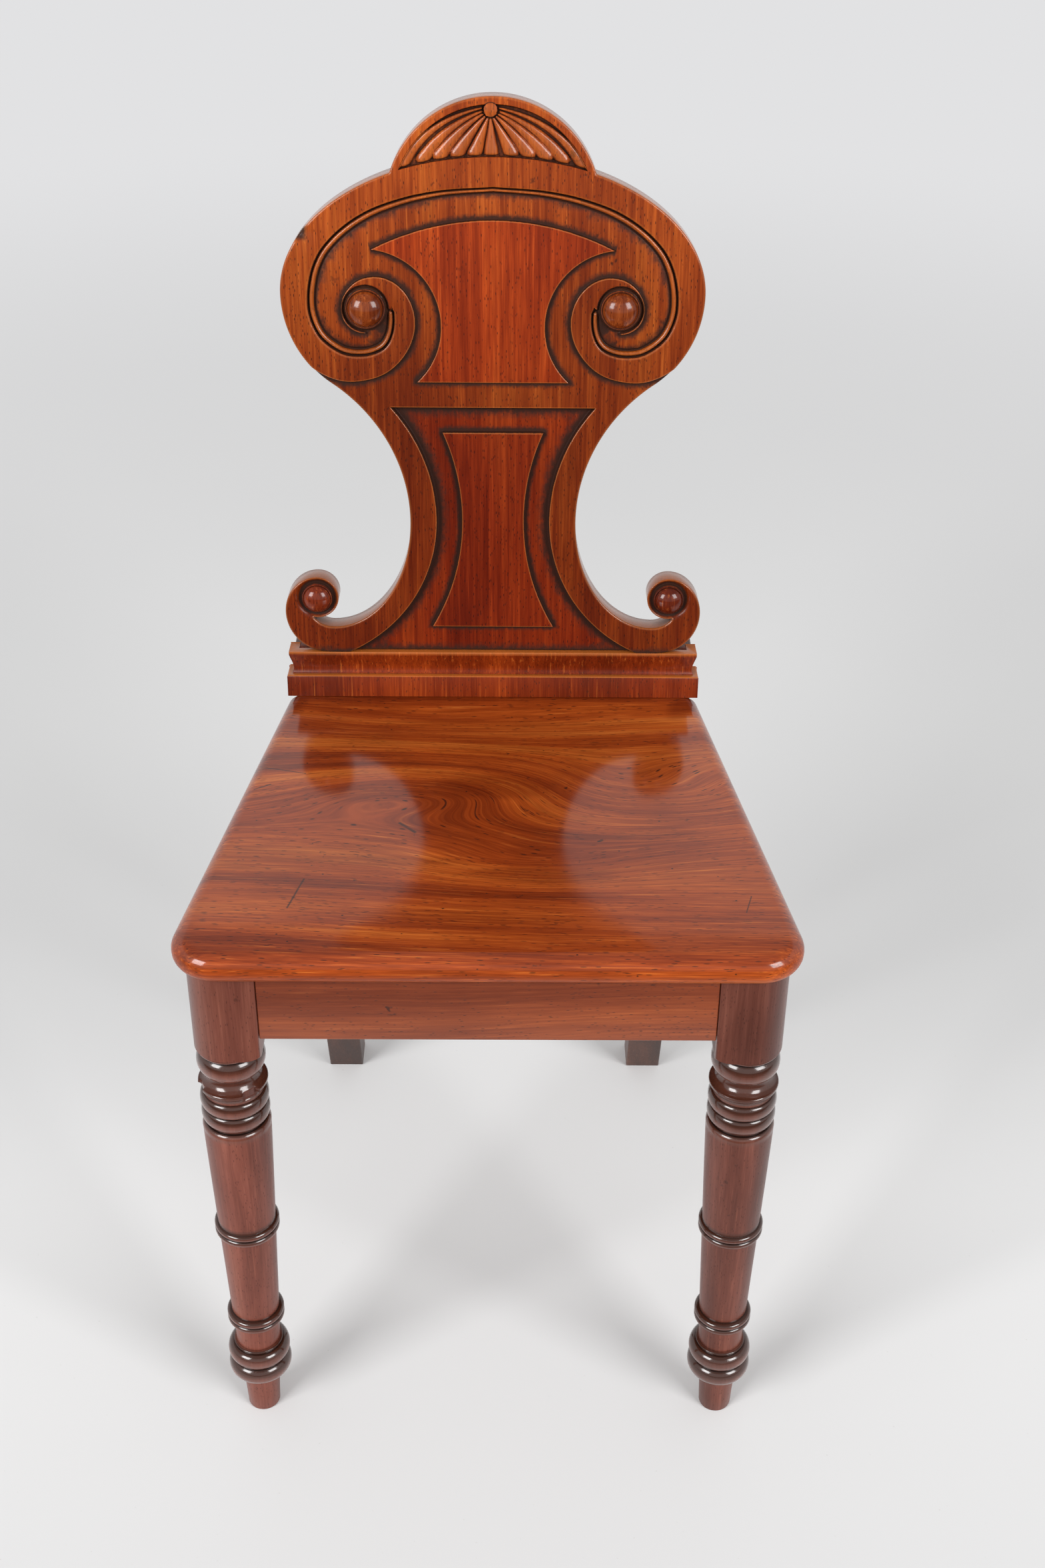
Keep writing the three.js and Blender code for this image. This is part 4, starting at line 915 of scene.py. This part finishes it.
def carveFan(face, c, shapes):
    top = face.y > 380
    high = face.flat[top]
    fromRecess = signed(high, shapes["recess"])
    inRecess = fromRecess < 0
    depth = falling(-fromRecess, c["fan"], 0.45, 0.5, 0.6)
    ridge = np.zeros(len(high))
    for path, wide in shapes["lobes"]:
        gap, t = nearest(high, path, False)
        reach = lobeReach(wide, t)
        crown = 2.2 + 0.9 * np.minimum(reach / wide, 1)
        ridge = np.maximum(ridge, crown * np.maximum(1 - (gap / reach)**2, 0)**0.5)
    # The lobes round down to the fan's foot
    level, radius = c["fanFoot"]
    foot = np.clip((np.hypot(high[:, 0], high[:, 1] - level) - radius - 0.4) / 2.2, 0, 1)
    ridge *= np.sqrt(1 - (1 - foot)**2)
    depth = np.where(inRecess, depth - np.minimum(ridge, depth + 0.2), depth)
    hub, radius = np.hypot(*(high - c["hub"]).T), c["hubRadius"]
    depth = np.where(hub < radius, np.minimum(depth, -0.3 + 0.03 * hub**2), depth)
    moat = (hub >= radius) & (hub < c["moat"][0]) & (high[:, 1] < c["moat"][1])
    face.depth[top] += np.where(moat, np.maximum(depth, 2.9), depth)
    # Dirt with painted shade in the recess between the lobes and round the hub; the lobes' crowns and the hub
    # lightened as a painted highlight
    low = inRecess & (hub > radius - 0.2)
    face.soilAndShade(np.where(low, 0.36 - 0.36 * ease(ridge / 1.5), band(hub, 4.9, 0.7)), top)
    face.rubAndSheen(np.where(low, 0.55 * ease((ridge - 1.6) / 1.0), 0.4 * (hub < radius - 0.2)), top)


def wearBack(face, c, shapes):
    gap, _ = nearest(face.flat, shapes["outline"], True)
    # Rounded outer arris
    arris = c["arris"]
    face.depth += np.where(gap < arris, arris - np.sqrt(np.maximum(arris**2 - (arris - gap)**2, 0)), 0)
    # Splinter missing from the left shoulder
    x, y = c["splinter"]
    deep = (1 - ease(np.hypot((face.x - x) / 8.5, (face.y - y) / 10))) * ease((5.5 - gap) / 3)
    face.depth += 2.4 * deep
    face.soilAndShade(1.1 * deep)
    # Painted shade along the foot, where the cavetto moulding stands in front of the board
    face.soilAndShade(0.9 * under(face.y - head["base"], 5.0))
    # The outer arris is lightened: wear, and a painted highlight
    face.rubAndSheen(0.8 * band(gap, 0, 1.4, 1.2))


def rimLoop(faces):
    # The points round the outside of the triangles, in order
    edges = [e for a, b, c in faces.tolist() for e in ((a, b), (b, c), (c, a))]
    known = set(edges)
    follow = {a: b for a, b in edges if (b, a) not in known}
    loop = [next(iter(follow))]
    while follow[loop[-1]] != loop[0]:
        loop.append(follow[loop[-1]])
    return loop


def backBoard(c):
    shapes = backShapes(c)
    flat, faces = backPlan(shapes["outline"], backLines(c, shapes))
    print("back board points", len(flat))
    face = Face(flat)
    carveRibbons(face, c, shapes)
    carveEyes(face, c)
    carveFan(face, c, shapes)
    wearBack(face, c, shapes)

    # The rim goes back to the rear face
    loop = rimLoop(faces)
    line = flat[loop]
    area = (line[:, 0] * np.roll(line[:, 1], -1) - np.roll(line[:, 0], -1) * line[:, 1]).sum()
    inwards = -1 if area > 0 else 1
    rings = [np.stack([flat[:, 0], face.depth, flat[:, 1]], 1)]
    polygons = [tuple(f) for f in faces.tolist()]
    for back, inset in ((c["thick"] - 0.8, 0.0), (c["thick"] - 0.25, 0.25), (c["thick"], 0.8)):
        start = sum(len(ring) for ring in rings)
        ring = shifted(line, inwards * inset, True)
        rings.append(np.stack([ring[:, 0], np.full(len(ring), back), ring[:, 1]], 1))
        current = list(range(start, start + len(ring)))
        polygons += sleeve(current, loop)
        loop = current
    polygons.append(tuple(loop)[::-1])
    board = newPiece("back", np.concatenate(rings), polygons, backPlace)
    # The rim all round gets full shine: more coat, and a colour lightened as a painted reflection of the room
    marks = np.zeros((sum(len(ring) for ring in rings), 3)) + [0, 1, 0]
    marks[:len(flat)] = np.stack([face.dirt, face.shine, face.tintAndRingShade], 1)
    marked(board, marks)

    blocks = [box(name, low, high, backPlace) for name, (low, high) in c["blocks"].items()]
    for block in blocks:
        bevelled(block, 0.4, 1)
        marked(block, np.zeros((1, 3)))
    board = joined("carved_back", [board] + blocks)
    outward(board, 48)
    return board


board = backBoard(carving)
finished(board, "back_panel", looks["back"])
print("back board made")


# Bosses: a dome on a thin flange with a spigot behind
bosses = {
    "upper": {"eye": carving["eye"], "face": -carving["rise"], "radius": 12.3, "flange": 13.5, "rise": 9.0,
              "look": "dome"},
    "lower": {"eye": head["eye"], "face": 0.0, "radius": 10.0, "flange": 10.9, "rise": 7.5, "look": "lowDome"}}


def boss(side, label, level, b):
    radius, flange, rise = b["radius"], b["flange"], b["rise"]
    dome = [(radius * math.cos(a), -1.3 - (rise - 1.3) * math.sin(a)) for a in np.linspace(0, math.pi / 2, 15)]
    dome[-1] = (0, -rise)
    spigot = [(0, 8), (4, 8), (4, -0.3)]
    rim = [(flange - 0.3, -0.3), (flange, -0.55), (flange, -0.9), (flange - 0.35, -1.25)]
    foot = [(radius + 0.15, -1.2), (radius - 0.1, -1.1)]
    x, y = b["eye"]
    place = backPlace @ Matrix.Translation((side * x * mm, b["face"] * mm, y * mm))
    place = place @ Matrix.Rotation(-math.pi / 2, 4, "X")
    piece = turned(f"boss_{level}_{label}", spigot + rim + foot + dome, 64, place)
    outward(piece, 40)
    finished(piece, f"{level}_{label}_boss", looks[b["look"]])


sides = ((-1, "left"), (1, "right"))
for side, label in sides:
    for level, values in bosses.items():
        boss(side, label, level, values)
print("bosses made")


# Mouldings wrapped round the foot of the back: outline points of (inset, level), then the inner face
trim = {"half": 153.9, "bed": (146.3, 7.7),
        "hollow": [(0.3, 35.6), (0.3, 32.9), (0.5, 32.4), (1.0, 30.6), (1.8, 28.2), (2.6, 25.6), (3.2, 23.0),
                   (3.4, 20.8), (3.1, 18.9), (2.4, 17.6), (2.2, 17.3)],
        "flat": [(-0.8, 17.0), (-1.6, 16.2), (-1.6, -6)]}


def moulding(name, node, outer, onSeat=False):
    high, low = outer[0][1], outer[-1][1]
    loop = [(trim["half"] - x, x, v) for x, v in outer[::-1]] + [(*trim["bed"], high), (*trim["bed"], low)]
    points = []
    for sign, rear in ((-1, True), (-1, False), (1, False), (1, True)):
        points += [(sign * across, carving["thick"] if rear else w, v) for across, w, v in loop]
    n = len(loop)
    rings = [tuple(range(k * n, (k + 1) * n)) for k in range(4)]
    faces = [rings[0], rings[3][::-1]]
    for first, second in zip(rings, rings[1:]):
        faces += sleeve(first, second)
    piece = newPiece(name, points, faces, backPlace)
    if onSeat:
        booled(piece, box("trim", (-300, -100, 300), (300, 400, 450.3)), "DIFFERENCE")
    bevelled(piece, 0.45, 2, 35)
    outward(piece, 40)
    # The top edge is rubbed bright: wear, and a painted highlight
    toBoard = backPlace.inverted()
    levels = np.array([(toBoard @ v.co).z for v in piece.data.vertices]) / mm
    marked(piece, (levels > high - 0.5)[:, None] * [0.0, 1.0, 0.0])
    finished(piece, node, looks["mould"])


moulding("cavetto", "cavetto_moulding", trim["hollow"])
moulding("plinth", "plinth_moulding", trim["flat"], onSeat=True)
print("mouldings made")


# Seat board: rounded edge all round, cut off against the raked back
seat = {"frontHalf": 207.4, "rearHalf": 155.7, "front": -220.0, "rear": 102.0, "corner": 30.0, "top": 450.0,
        "thick": 22.0, "nose": 10.6}
seat["slope"] = (seat["frontHalf"] - seat["rearHalf"]) / (seat["rear"] - seat["front"])


def seatBoard(s):
    lean = math.degrees(math.atan(s["slope"]))
    across = s["frontHalf"] - s["corner"] * math.tan(math.radians(90 + lean) / 2)
    corner = arc(across, s["front"] + s["corner"], s["corner"], s["corner"], lean, -90, 1.5)
    # Longer than the seat at first, for the cut at the rear
    spare = 24
    half = chain([(s["rearHalf"] - s["slope"] * spare, s["rear"] + spare)], corner)
    outline = corners(np.vstack([half, mirrored(half)]), 12)
    n, steps = len(outline), 16
    rings = []
    for a in np.radians(np.linspace(-90, 90, steps + 1)):
        ring = shifted(outline, s["nose"] * (1 - math.cos(a)), True)
        z = s["top"] - s["thick"] / 2 + (s["thick"] / 2 - s["nose"]) * np.sign(a) + s["nose"] * math.sin(a)
        rings.append(np.column_stack([ring, np.full(n, z)]))
    faces = [tuple(range(n)), tuple(range(steps * n, (steps + 1) * n))[::-1]]
    for k in range(0, steps * n, n):
        faces += [(k + i, k + n + i, k + n + (i + 1) % n, k + (i + 1) % n) for i in range(n)]
    piece = newPiece("seat", np.concatenate(rings), faces)
    outward(piece)
    booled(piece, behindBoard(-0.3), "DIFFERENCE")
    outward(piece, 40)
    # The rounded edge gets more coat and is lightened a little as a painted sheen, darker at the sides, and redder in
    # front
    spots = np.array([tuple(v.co) for v in piece.data.vertices]) / mm
    edge = ease((448 - spots[:, 2]) / 5)
    front = ease((-185 - spots[:, 1]) / 20)
    marked(piece, np.stack([edge * 0.22 * (1 - front), edge * 0.3, edge * (0.3 + 0.7 * front)], 1))
    finished(piece, "seat_board", looks["seat"])


seatBoard(seat)
print("seat made")


# Front legs: turned below, square block above with its outer corner rounded
leg = {"x": 171.5, "y": -188.25, "block": 46.5, "top": 427.7, "blockHeight": 69.5, "arris": 0.7,
       # How the block's foot rounds in: reach and height, and its tint
       "crown": (11, 8), "blockTint": 0.32,
       # Rings, dark from some way up to their tops: dark polish, and a painted dark reflection
       "rings": [(39, 54.5), (54.5, 71.6), (93.6, 98.6), (98.6, 104.0), (185.1, 190.1), (190.1, 195.6),
                 (286.0, 293.5), (293.7, 305.7), (305.7, 317.9), (317.9, 325.0), (325.0, 336.1), (336.1, 354.8),
                 (354.8, 358.5)],
       "scoop": (320, 334),
       # The collar's levels and radius, and pieces broken off its rim: from and to round from the front, and how deep
       "collar": (321.3, 328, 23.4), "chips": {"left": [(24, 54, 3.6), (-76, -55, 2.4)], "right": []}}


def halfRound(low, high, radius, root, count):
    middle = (low + high) / 2
    a = np.linspace(-math.pi / 2, math.pi / 2, count)
    return [(root + (radius - root) * math.cos(t), middle + (high - low) / 2 * math.sin(t)) for t in a]


def legProfile():
    # Points of (radius, height) from the foot up into the block
    p = [(0, 0), (10.7, 0), (11.5, 0.4), (11.8, 1.4), (12.4, 15), (13.2, 30), (13.7, 39)]
    p += halfRound(39, 54.5, 23.1, 17.5, 16)
    p += halfRound(54.5, 69, 22.7, 17.5, 16)
    p += [(18, 69.2), (18.2, 69.6), (18.2, 71.2), (17.8, 71.6), (16.2, 71.9), (16.0, 82), (16.2, 93.3)]
    p += halfRound(93.6, 98.6, 20.7, 18.4, 8)
    p += halfRound(98.6, 103.6, 20.7, 18.4, 8)
    p += [(17.2, 103.9), (17.3, 106), (18.6, 145), (20.0, 184.8)]
    p += halfRound(185.1, 190.1, 22.8, 20.4, 8)
    p += halfRound(190.1, 195.1, 22.8, 20.4, 8)
    p += [(20.2, 195.4), (20.5, 200), (22, 245), (23.2, 284), (23.4, 287.7)]
    p += [(20.4 + 3.0 * math.cos(t), 287.7 + 4 * math.sin(t)) for t in np.linspace(0.2, math.pi / 2, 8)]
    p += [(20.4, 292.2), (20.4, 293.5)]
    p += halfRound(293.7, 305.7, 23.3, 20.6, 14)
    p += halfRound(305.7, 317.7, 23.3, 20.6, 14)
    p += [(20.5, 318.2)]
    p += [(23.4 - 2.9 * math.cos(t), 318.2 + 6.3 * math.sin(t)) for t in np.linspace(0.15, math.pi / 2, 8)]
    p += [(23.5, 325), (23.4, 326.3), (23.0, 326.7)]
    p += [(23.0 - 6.5 * math.sin(t), 334.7 - 8 * math.cos(t)) for t in np.linspace(0.1, math.pi / 2, 10)]
    p += [(16.5, 335.9)]
    p += halfRound(336.2, 354.6, 23.1, 17, 18)
    p += halfRound(354.8, 358.2, 22.2, 20.4, 6)
    p += [(20.4, 358.4), (20.4, 372), (0, 372)]
    return p


def legBlock(side, place):
    half, corner = leg["block"] / 2, leg["arris"]
    foot = leg["top"] - leg["blockHeight"]
    near, far = -half + corner, half - corner
    plan = chain(arc(near, near, corner, corner, 180, 270, 0.4), arc(0, 0, half, half, -90, 0, 1.2),
                 arc(far, far, corner, corner, 0, 90, 0.4), arc(near, far, corner, corner, 90, 180, 0.4))
    block = prism("block", plan if side > 0 else mirrored(plan), foot - 12, leg["top"], place)
    outward(block)
    across, height = leg["crown"]
    reach = half * math.sqrt(2) + 0.4 - across
    turn = np.linspace(0, math.pi / 2, 12)
    shape = [(0, foot)] + [(reach + across * math.sin(t), foot + height * (1 - math.cos(t))) for t in turn]
    shape += [(60, foot + height), (60, 460), (0, 460)]
    crown = turned("crown", shape, 96, place)
    outward(crown)
    booled(block, crown, "INTERSECT")
    marked(block, np.tile([0.0, 0.0, leg["blockTint"]], (len(block.data.vertices), 1)))
    return block


def legShaft(side, label, place):
    shaft = turned("shaft", legProfile(), 96, place)
    marks = np.zeros((len(shaft.data.vertices), 3))
    collarLow, collarHigh, collar = leg["collar"]
    for v in shaft.data.vertices:
        x, y, level = v.co.x / mm - side * leg["x"], v.co.y / mm - leg["y"], v.co.z / mm
        for low, high in leg["rings"]:
            if low <= level < high:
                # Each ring's upper part darkened: dark polish, and a painted dark reflection
                marks[v.index] = (0, 1, 0.36 + 0.64 * ease(((level - low) / (high - low) - 0.42) / 0.34))
        # The scoop under the collar is darkened too, a painted shade in its hollow
        if leg["scoop"][0] < level < leg["scoop"][1]:
            marks[v.index, 2] = 0.8
        for start, end, depth in leg["chips"][label]:
            if collarLow < level < collarHigh and start < math.degrees(math.atan2(x, -y)) < end:
                keep = (collar - depth) / math.hypot(x, y)
                if keep < 1:
                    v.co.x, v.co.y = (x * keep + side * leg["x"]) * mm, (y * keep + leg["y"]) * mm
                    marks[v.index] = (0, 0.3, 0.45)
    marked(shaft, marks)
    return shaft


def frontLeg(side, label):
    place = Matrix.Translation((side * leg["x"] * mm, leg["y"] * mm, 0))
    block = legBlock(side, place)
    piece = joined(f"turned_leg_{label}", [legShaft(side, label, place), block])
    outward(piece, 38)
    finished(piece, f"front_{label}_leg", looks[f"{label}Leg"])


for side, label in sides:
    frontLeg(side, label)
print("front legs made")


# Seat rails, with their tenons
rail = {"levels": (377.7, 427.7), "tenonLevels": (385.7, 419.7), "thick": 20, "tenonFrom": 6, "tenonTo": 14,
        "front": -210.5, "half": 147.95, "tenonTip": 163.9, "tenonLength": 18,
        # Side rails: set in from the seat's edge, from the leg to behind the back board's front
        "inset": 5, "side": (-164.7, 130), "sideTenon": (-181, -160), "rearTenon": 100}


def frontRail(r):
    y0, thick, tip, length = r["front"], r["thick"], r["tenonTip"], r["tenonLength"]
    low, high = r["levels"]
    body = box("rail", (-r["half"], y0, low), (r["half"], y0 + thick, high))
    bevelled(body, 0.8, 3)
    low, high = r["tenonLevels"]
    ends = [box("tenon", (x, y0 + r["tenonFrom"], low), (x + length, y0 + r["tenonTo"], high))
            for x in (-tip, tip - length)]
    piece = joined("apron_front", [body] + ends)
    outward(piece, 40)
    finished(piece, "front_rail", looks["rail"])


def railX(y, inwards):
    # Follows the seat's splayed sides
    slope = seat["slope"]
    return seat["rearHalf"] + slope * (seat["rear"] - y) - rail["inset"] - inwards * math.hypot(1, slope)


def boardRearY(z):
    return seat["rear"] + carving["thick"] / math.cos(rake) + (z - seat["top"]) * math.tan(rake)


def sideRail(side, label, r):
    def strip(name, y0, y1, outer, inner, levels):
        plan = [(side * railX(y0, outer), y0), (side * railX(y1, outer), y1),
                (side * railX(y1, inner), y1), (side * railX(y0, inner), y0)]
        return prism(name, plan if side > 0 else plan[::-1], *levels)

    body = strip("rail", *r["side"], 0, r["thick"], r["levels"])
    outward(body)
    booled(body, behindBoard(carving["thick"]), "DIFFERENCE")
    bevelled(body, 0.7, 2)
    tenons = [strip("tenon", *ends, r["tenonFrom"], r["tenonTo"], r["tenonLevels"])
              for ends in (r["sideTenon"], (r["rearTenon"], boardRearY(r["tenonLevels"][0]) + 10))]
    piece = joined(f"apron_{label}", [body] + tenons)
    outward(piece, 40)
    finished(piece, f"{label}_side_rail", looks["sideRail"])


frontRail(rail)
for side, label in sides:
    sideRail(side, label, rail)
print("rails made")


# Rear legs: swept foot, straight stub up the back of the board
rearLegs = {"x": 136.5, "thick": 30, "gap": 0.3, "stub": 22, "knee": 80, "kneeDeep": 30, "sweep": 0.3,
            "foot": (190, 220), "top": 478,
            # The rail between them, in the back board's own frame
            "bar": ((-121.2, 19.3, -72.7), (121.2, 41.3, -22.7))}


def rearLeg(side, label, r):
    gap, stub = r["gap"] / math.cos(rake), r["stub"] / math.cos(rake)
    low, high = rail["levels"]
    knee = high - r["knee"]
    kneeY = boardRearY(knee) + gap
    sweep = knee * r["sweep"]
    run = sweep * math.tan(rake)
    t = np.linspace(0, 1, 21)[:, None]

    def curve(a, b, c):
        return (1 - t)**2 * np.array(a) + 2 * t * (1 - t) * np.array(b) + t**2 * np.array(c)

    footFront, footBack = r["foot"]
    front = curve((footFront, 0), (kneeY - run, knee - sweep), (kneeY, knee))
    kneeY += r["kneeDeep"]
    back = curve((kneeY, knee), (kneeY - run, knee - sweep), (footBack, 0))
    topY = boardRearY(r["top"]) + gap
    line = chain(front, [(topY, r["top"]), (topY + stub, r["top"]), (boardRearY(low) + gap + stub, low)], back)
    # Outline of (y, z) stood across X
    across = Matrix(((0, 0, 1, 0), (1, 0, 0, 0), (0, 1, 0, 0), (0, 0, 0, 1)))
    middle = side * r["x"]
    piece = prism(f"raked_leg_{label}", line, middle - r["thick"] / 2, middle + r["thick"] / 2, across)
    outward(piece)
    bevelled(piece, 1.0, 3)
    outward(piece, 40)
    finished(piece, f"rear_{label}_leg", looks["rear"])


for side, label in sides:
    rearLeg(side, label, rearLegs)
rearBar = box("apron_rear", *rearLegs["bar"], backPlace)
bevelled(rearBar, 0.8, 2)
outward(rearBar, 40)
finished(rearBar, "rear_rail", looks["rear"])
print("rear legs made")

# Blocks and screws keep their own shape
for name, node in nodes.items():
    for ending, look in (("_block", "pine"), ("_screw", "steel")):
        if name.endswith(ending):
            node.data.materials.clear()
            node.data.materials.append(looks[look])


# Plain pale floor and soft studio light
stage = {"near": tone(215, 215, 215), "front": tone(190, 190, 190), "far": (0.76, 0.76, 0.77, 1), "reach": (0.9, 3.3),
         "dimFront": 0.9, "plain": 0.54,
         # Brightness of the room in the gloss, by height: backdrop, wall above it, ceiling
         "room": [(0.56, 0.78), (0.63, 0.3), (0.84, 0.3), (0.92, 0.36)],
         # Softboxes on both sides: across, in front and up
         "place": (3.2, -3.2, 2.7), "aim": (0, 0, 0.5), "size": (2.2, 2.4), "power": {"left": 227.9, "right": 199.95}}


def makeFloor(s):
    floor = newPiece("floor", [(-15000, -8000, 0), (15000, -8000, 0), (15000, 22000, 0), (-15000, 22000, 0)],
                     [(0, 1, 2, 3)])
    look = Look("floor paper")
    place = look.place()
    x, y, _ = place
    away = (x * x + y * y) ** 0.5
    cloud = look.noise(place, (2, 2, 1), detail=3.0)
    speck = look.noise(place, (320, 320, 1))
    # Towards the camera the paper is painted darker, as painted shade
    base = look.mix(y.fades(-0.9, 0.1), s["near"], s["front"])
    base = look.mix(cloud.steps(0.3, 0.7) * 0.1, base, tone(204, 204, 206))
    base = look.mix(speck.steps(0.74, 0.8) * 0.25, base, tone(150, 144, 136))
    # Away from the chair the paper shows one even pale grey, to the camera and in the gloss
    black = (0, 0, 0, 1)
    gloss = look.node("ShaderNodeLightPath", out="Is Glossy Ray")
    shown = gloss.out("Is Camera Ray").most(gloss) * away.steps(*s["reach"])
    base = look.mix(shown, base, black)
    # The studio in front of the paper is dark in the gloss
    dim = gloss * y.steps(-0.9, -0.25, s["dimFront"], 0.0)
    base = look.mix(dim, base, black)
    paper = look.finish(base, 0.75 + (cloud - 0.5) * 0.1, speck, 0.02, 0.0005, specular=0.0)
    look.feed(look.shader.inputs["Emission Color"], look.mix(shown * (1.0 - dim), black, s["far"]))
    look.feed(look.shader.inputs["Emission Strength"], 1.0)
    floor.data.materials.append(paper)


def makeRoom(s):
    world = bpy.data.worlds.new("studio")
    scene.world = world
    world.use_nodes = True
    room = Look("room", world.node_tree)
    height = room.split("ShaderNodeSeparateXYZ", room.node("ShaderNodeTexCoord", out="Generated"))[2]
    (backdrop, bright), (wall, dim), (wallTop, _), (ceiling, lit) = s["room"]
    gloss = room.node("ShaderNodeLightPath", out="Is Glossy Ray")
    reflected = height.steps(backdrop, wall, bright, dim) + height.steps(wallTop, ceiling, 0.0, lit - dim)
    brightness = s["plain"] + gloss.out("Is Camera Ray") * (s["far"][0] - s["plain"])
    brightness = brightness + gloss * (reflected - s["plain"])
    background = room.tree.nodes["Background"].inputs
    room.feed(background["Strength"], brightness)
    room.feed(background["Color"], (1, 1, 1, 1))


def softbox(side, label, s):
    lamp = bpy.data.objects.new(f"softbox {label}", bpy.data.lights.new(f"softbox {label}", "AREA"))
    lamp.data.shape = "RECTANGLE"
    lamp.data.size, lamp.data.size_y = s["size"]
    lamp.data.energy = s["power"][label]
    x, y, z = s["place"]
    lamp.location = (side * x, y, z)
    lamp.rotation_euler = (Vector(s["aim"]) - lamp.location).to_track_quat("-Z", "Y").to_euler()
    scene.collection.objects.link(lamp)


makeFloor(stage)
makeRoom(stage)
scene.view_settings.view_transform = "Standard"
for side, label in sides:
    softbox(side, label, stage)
print("stage made")
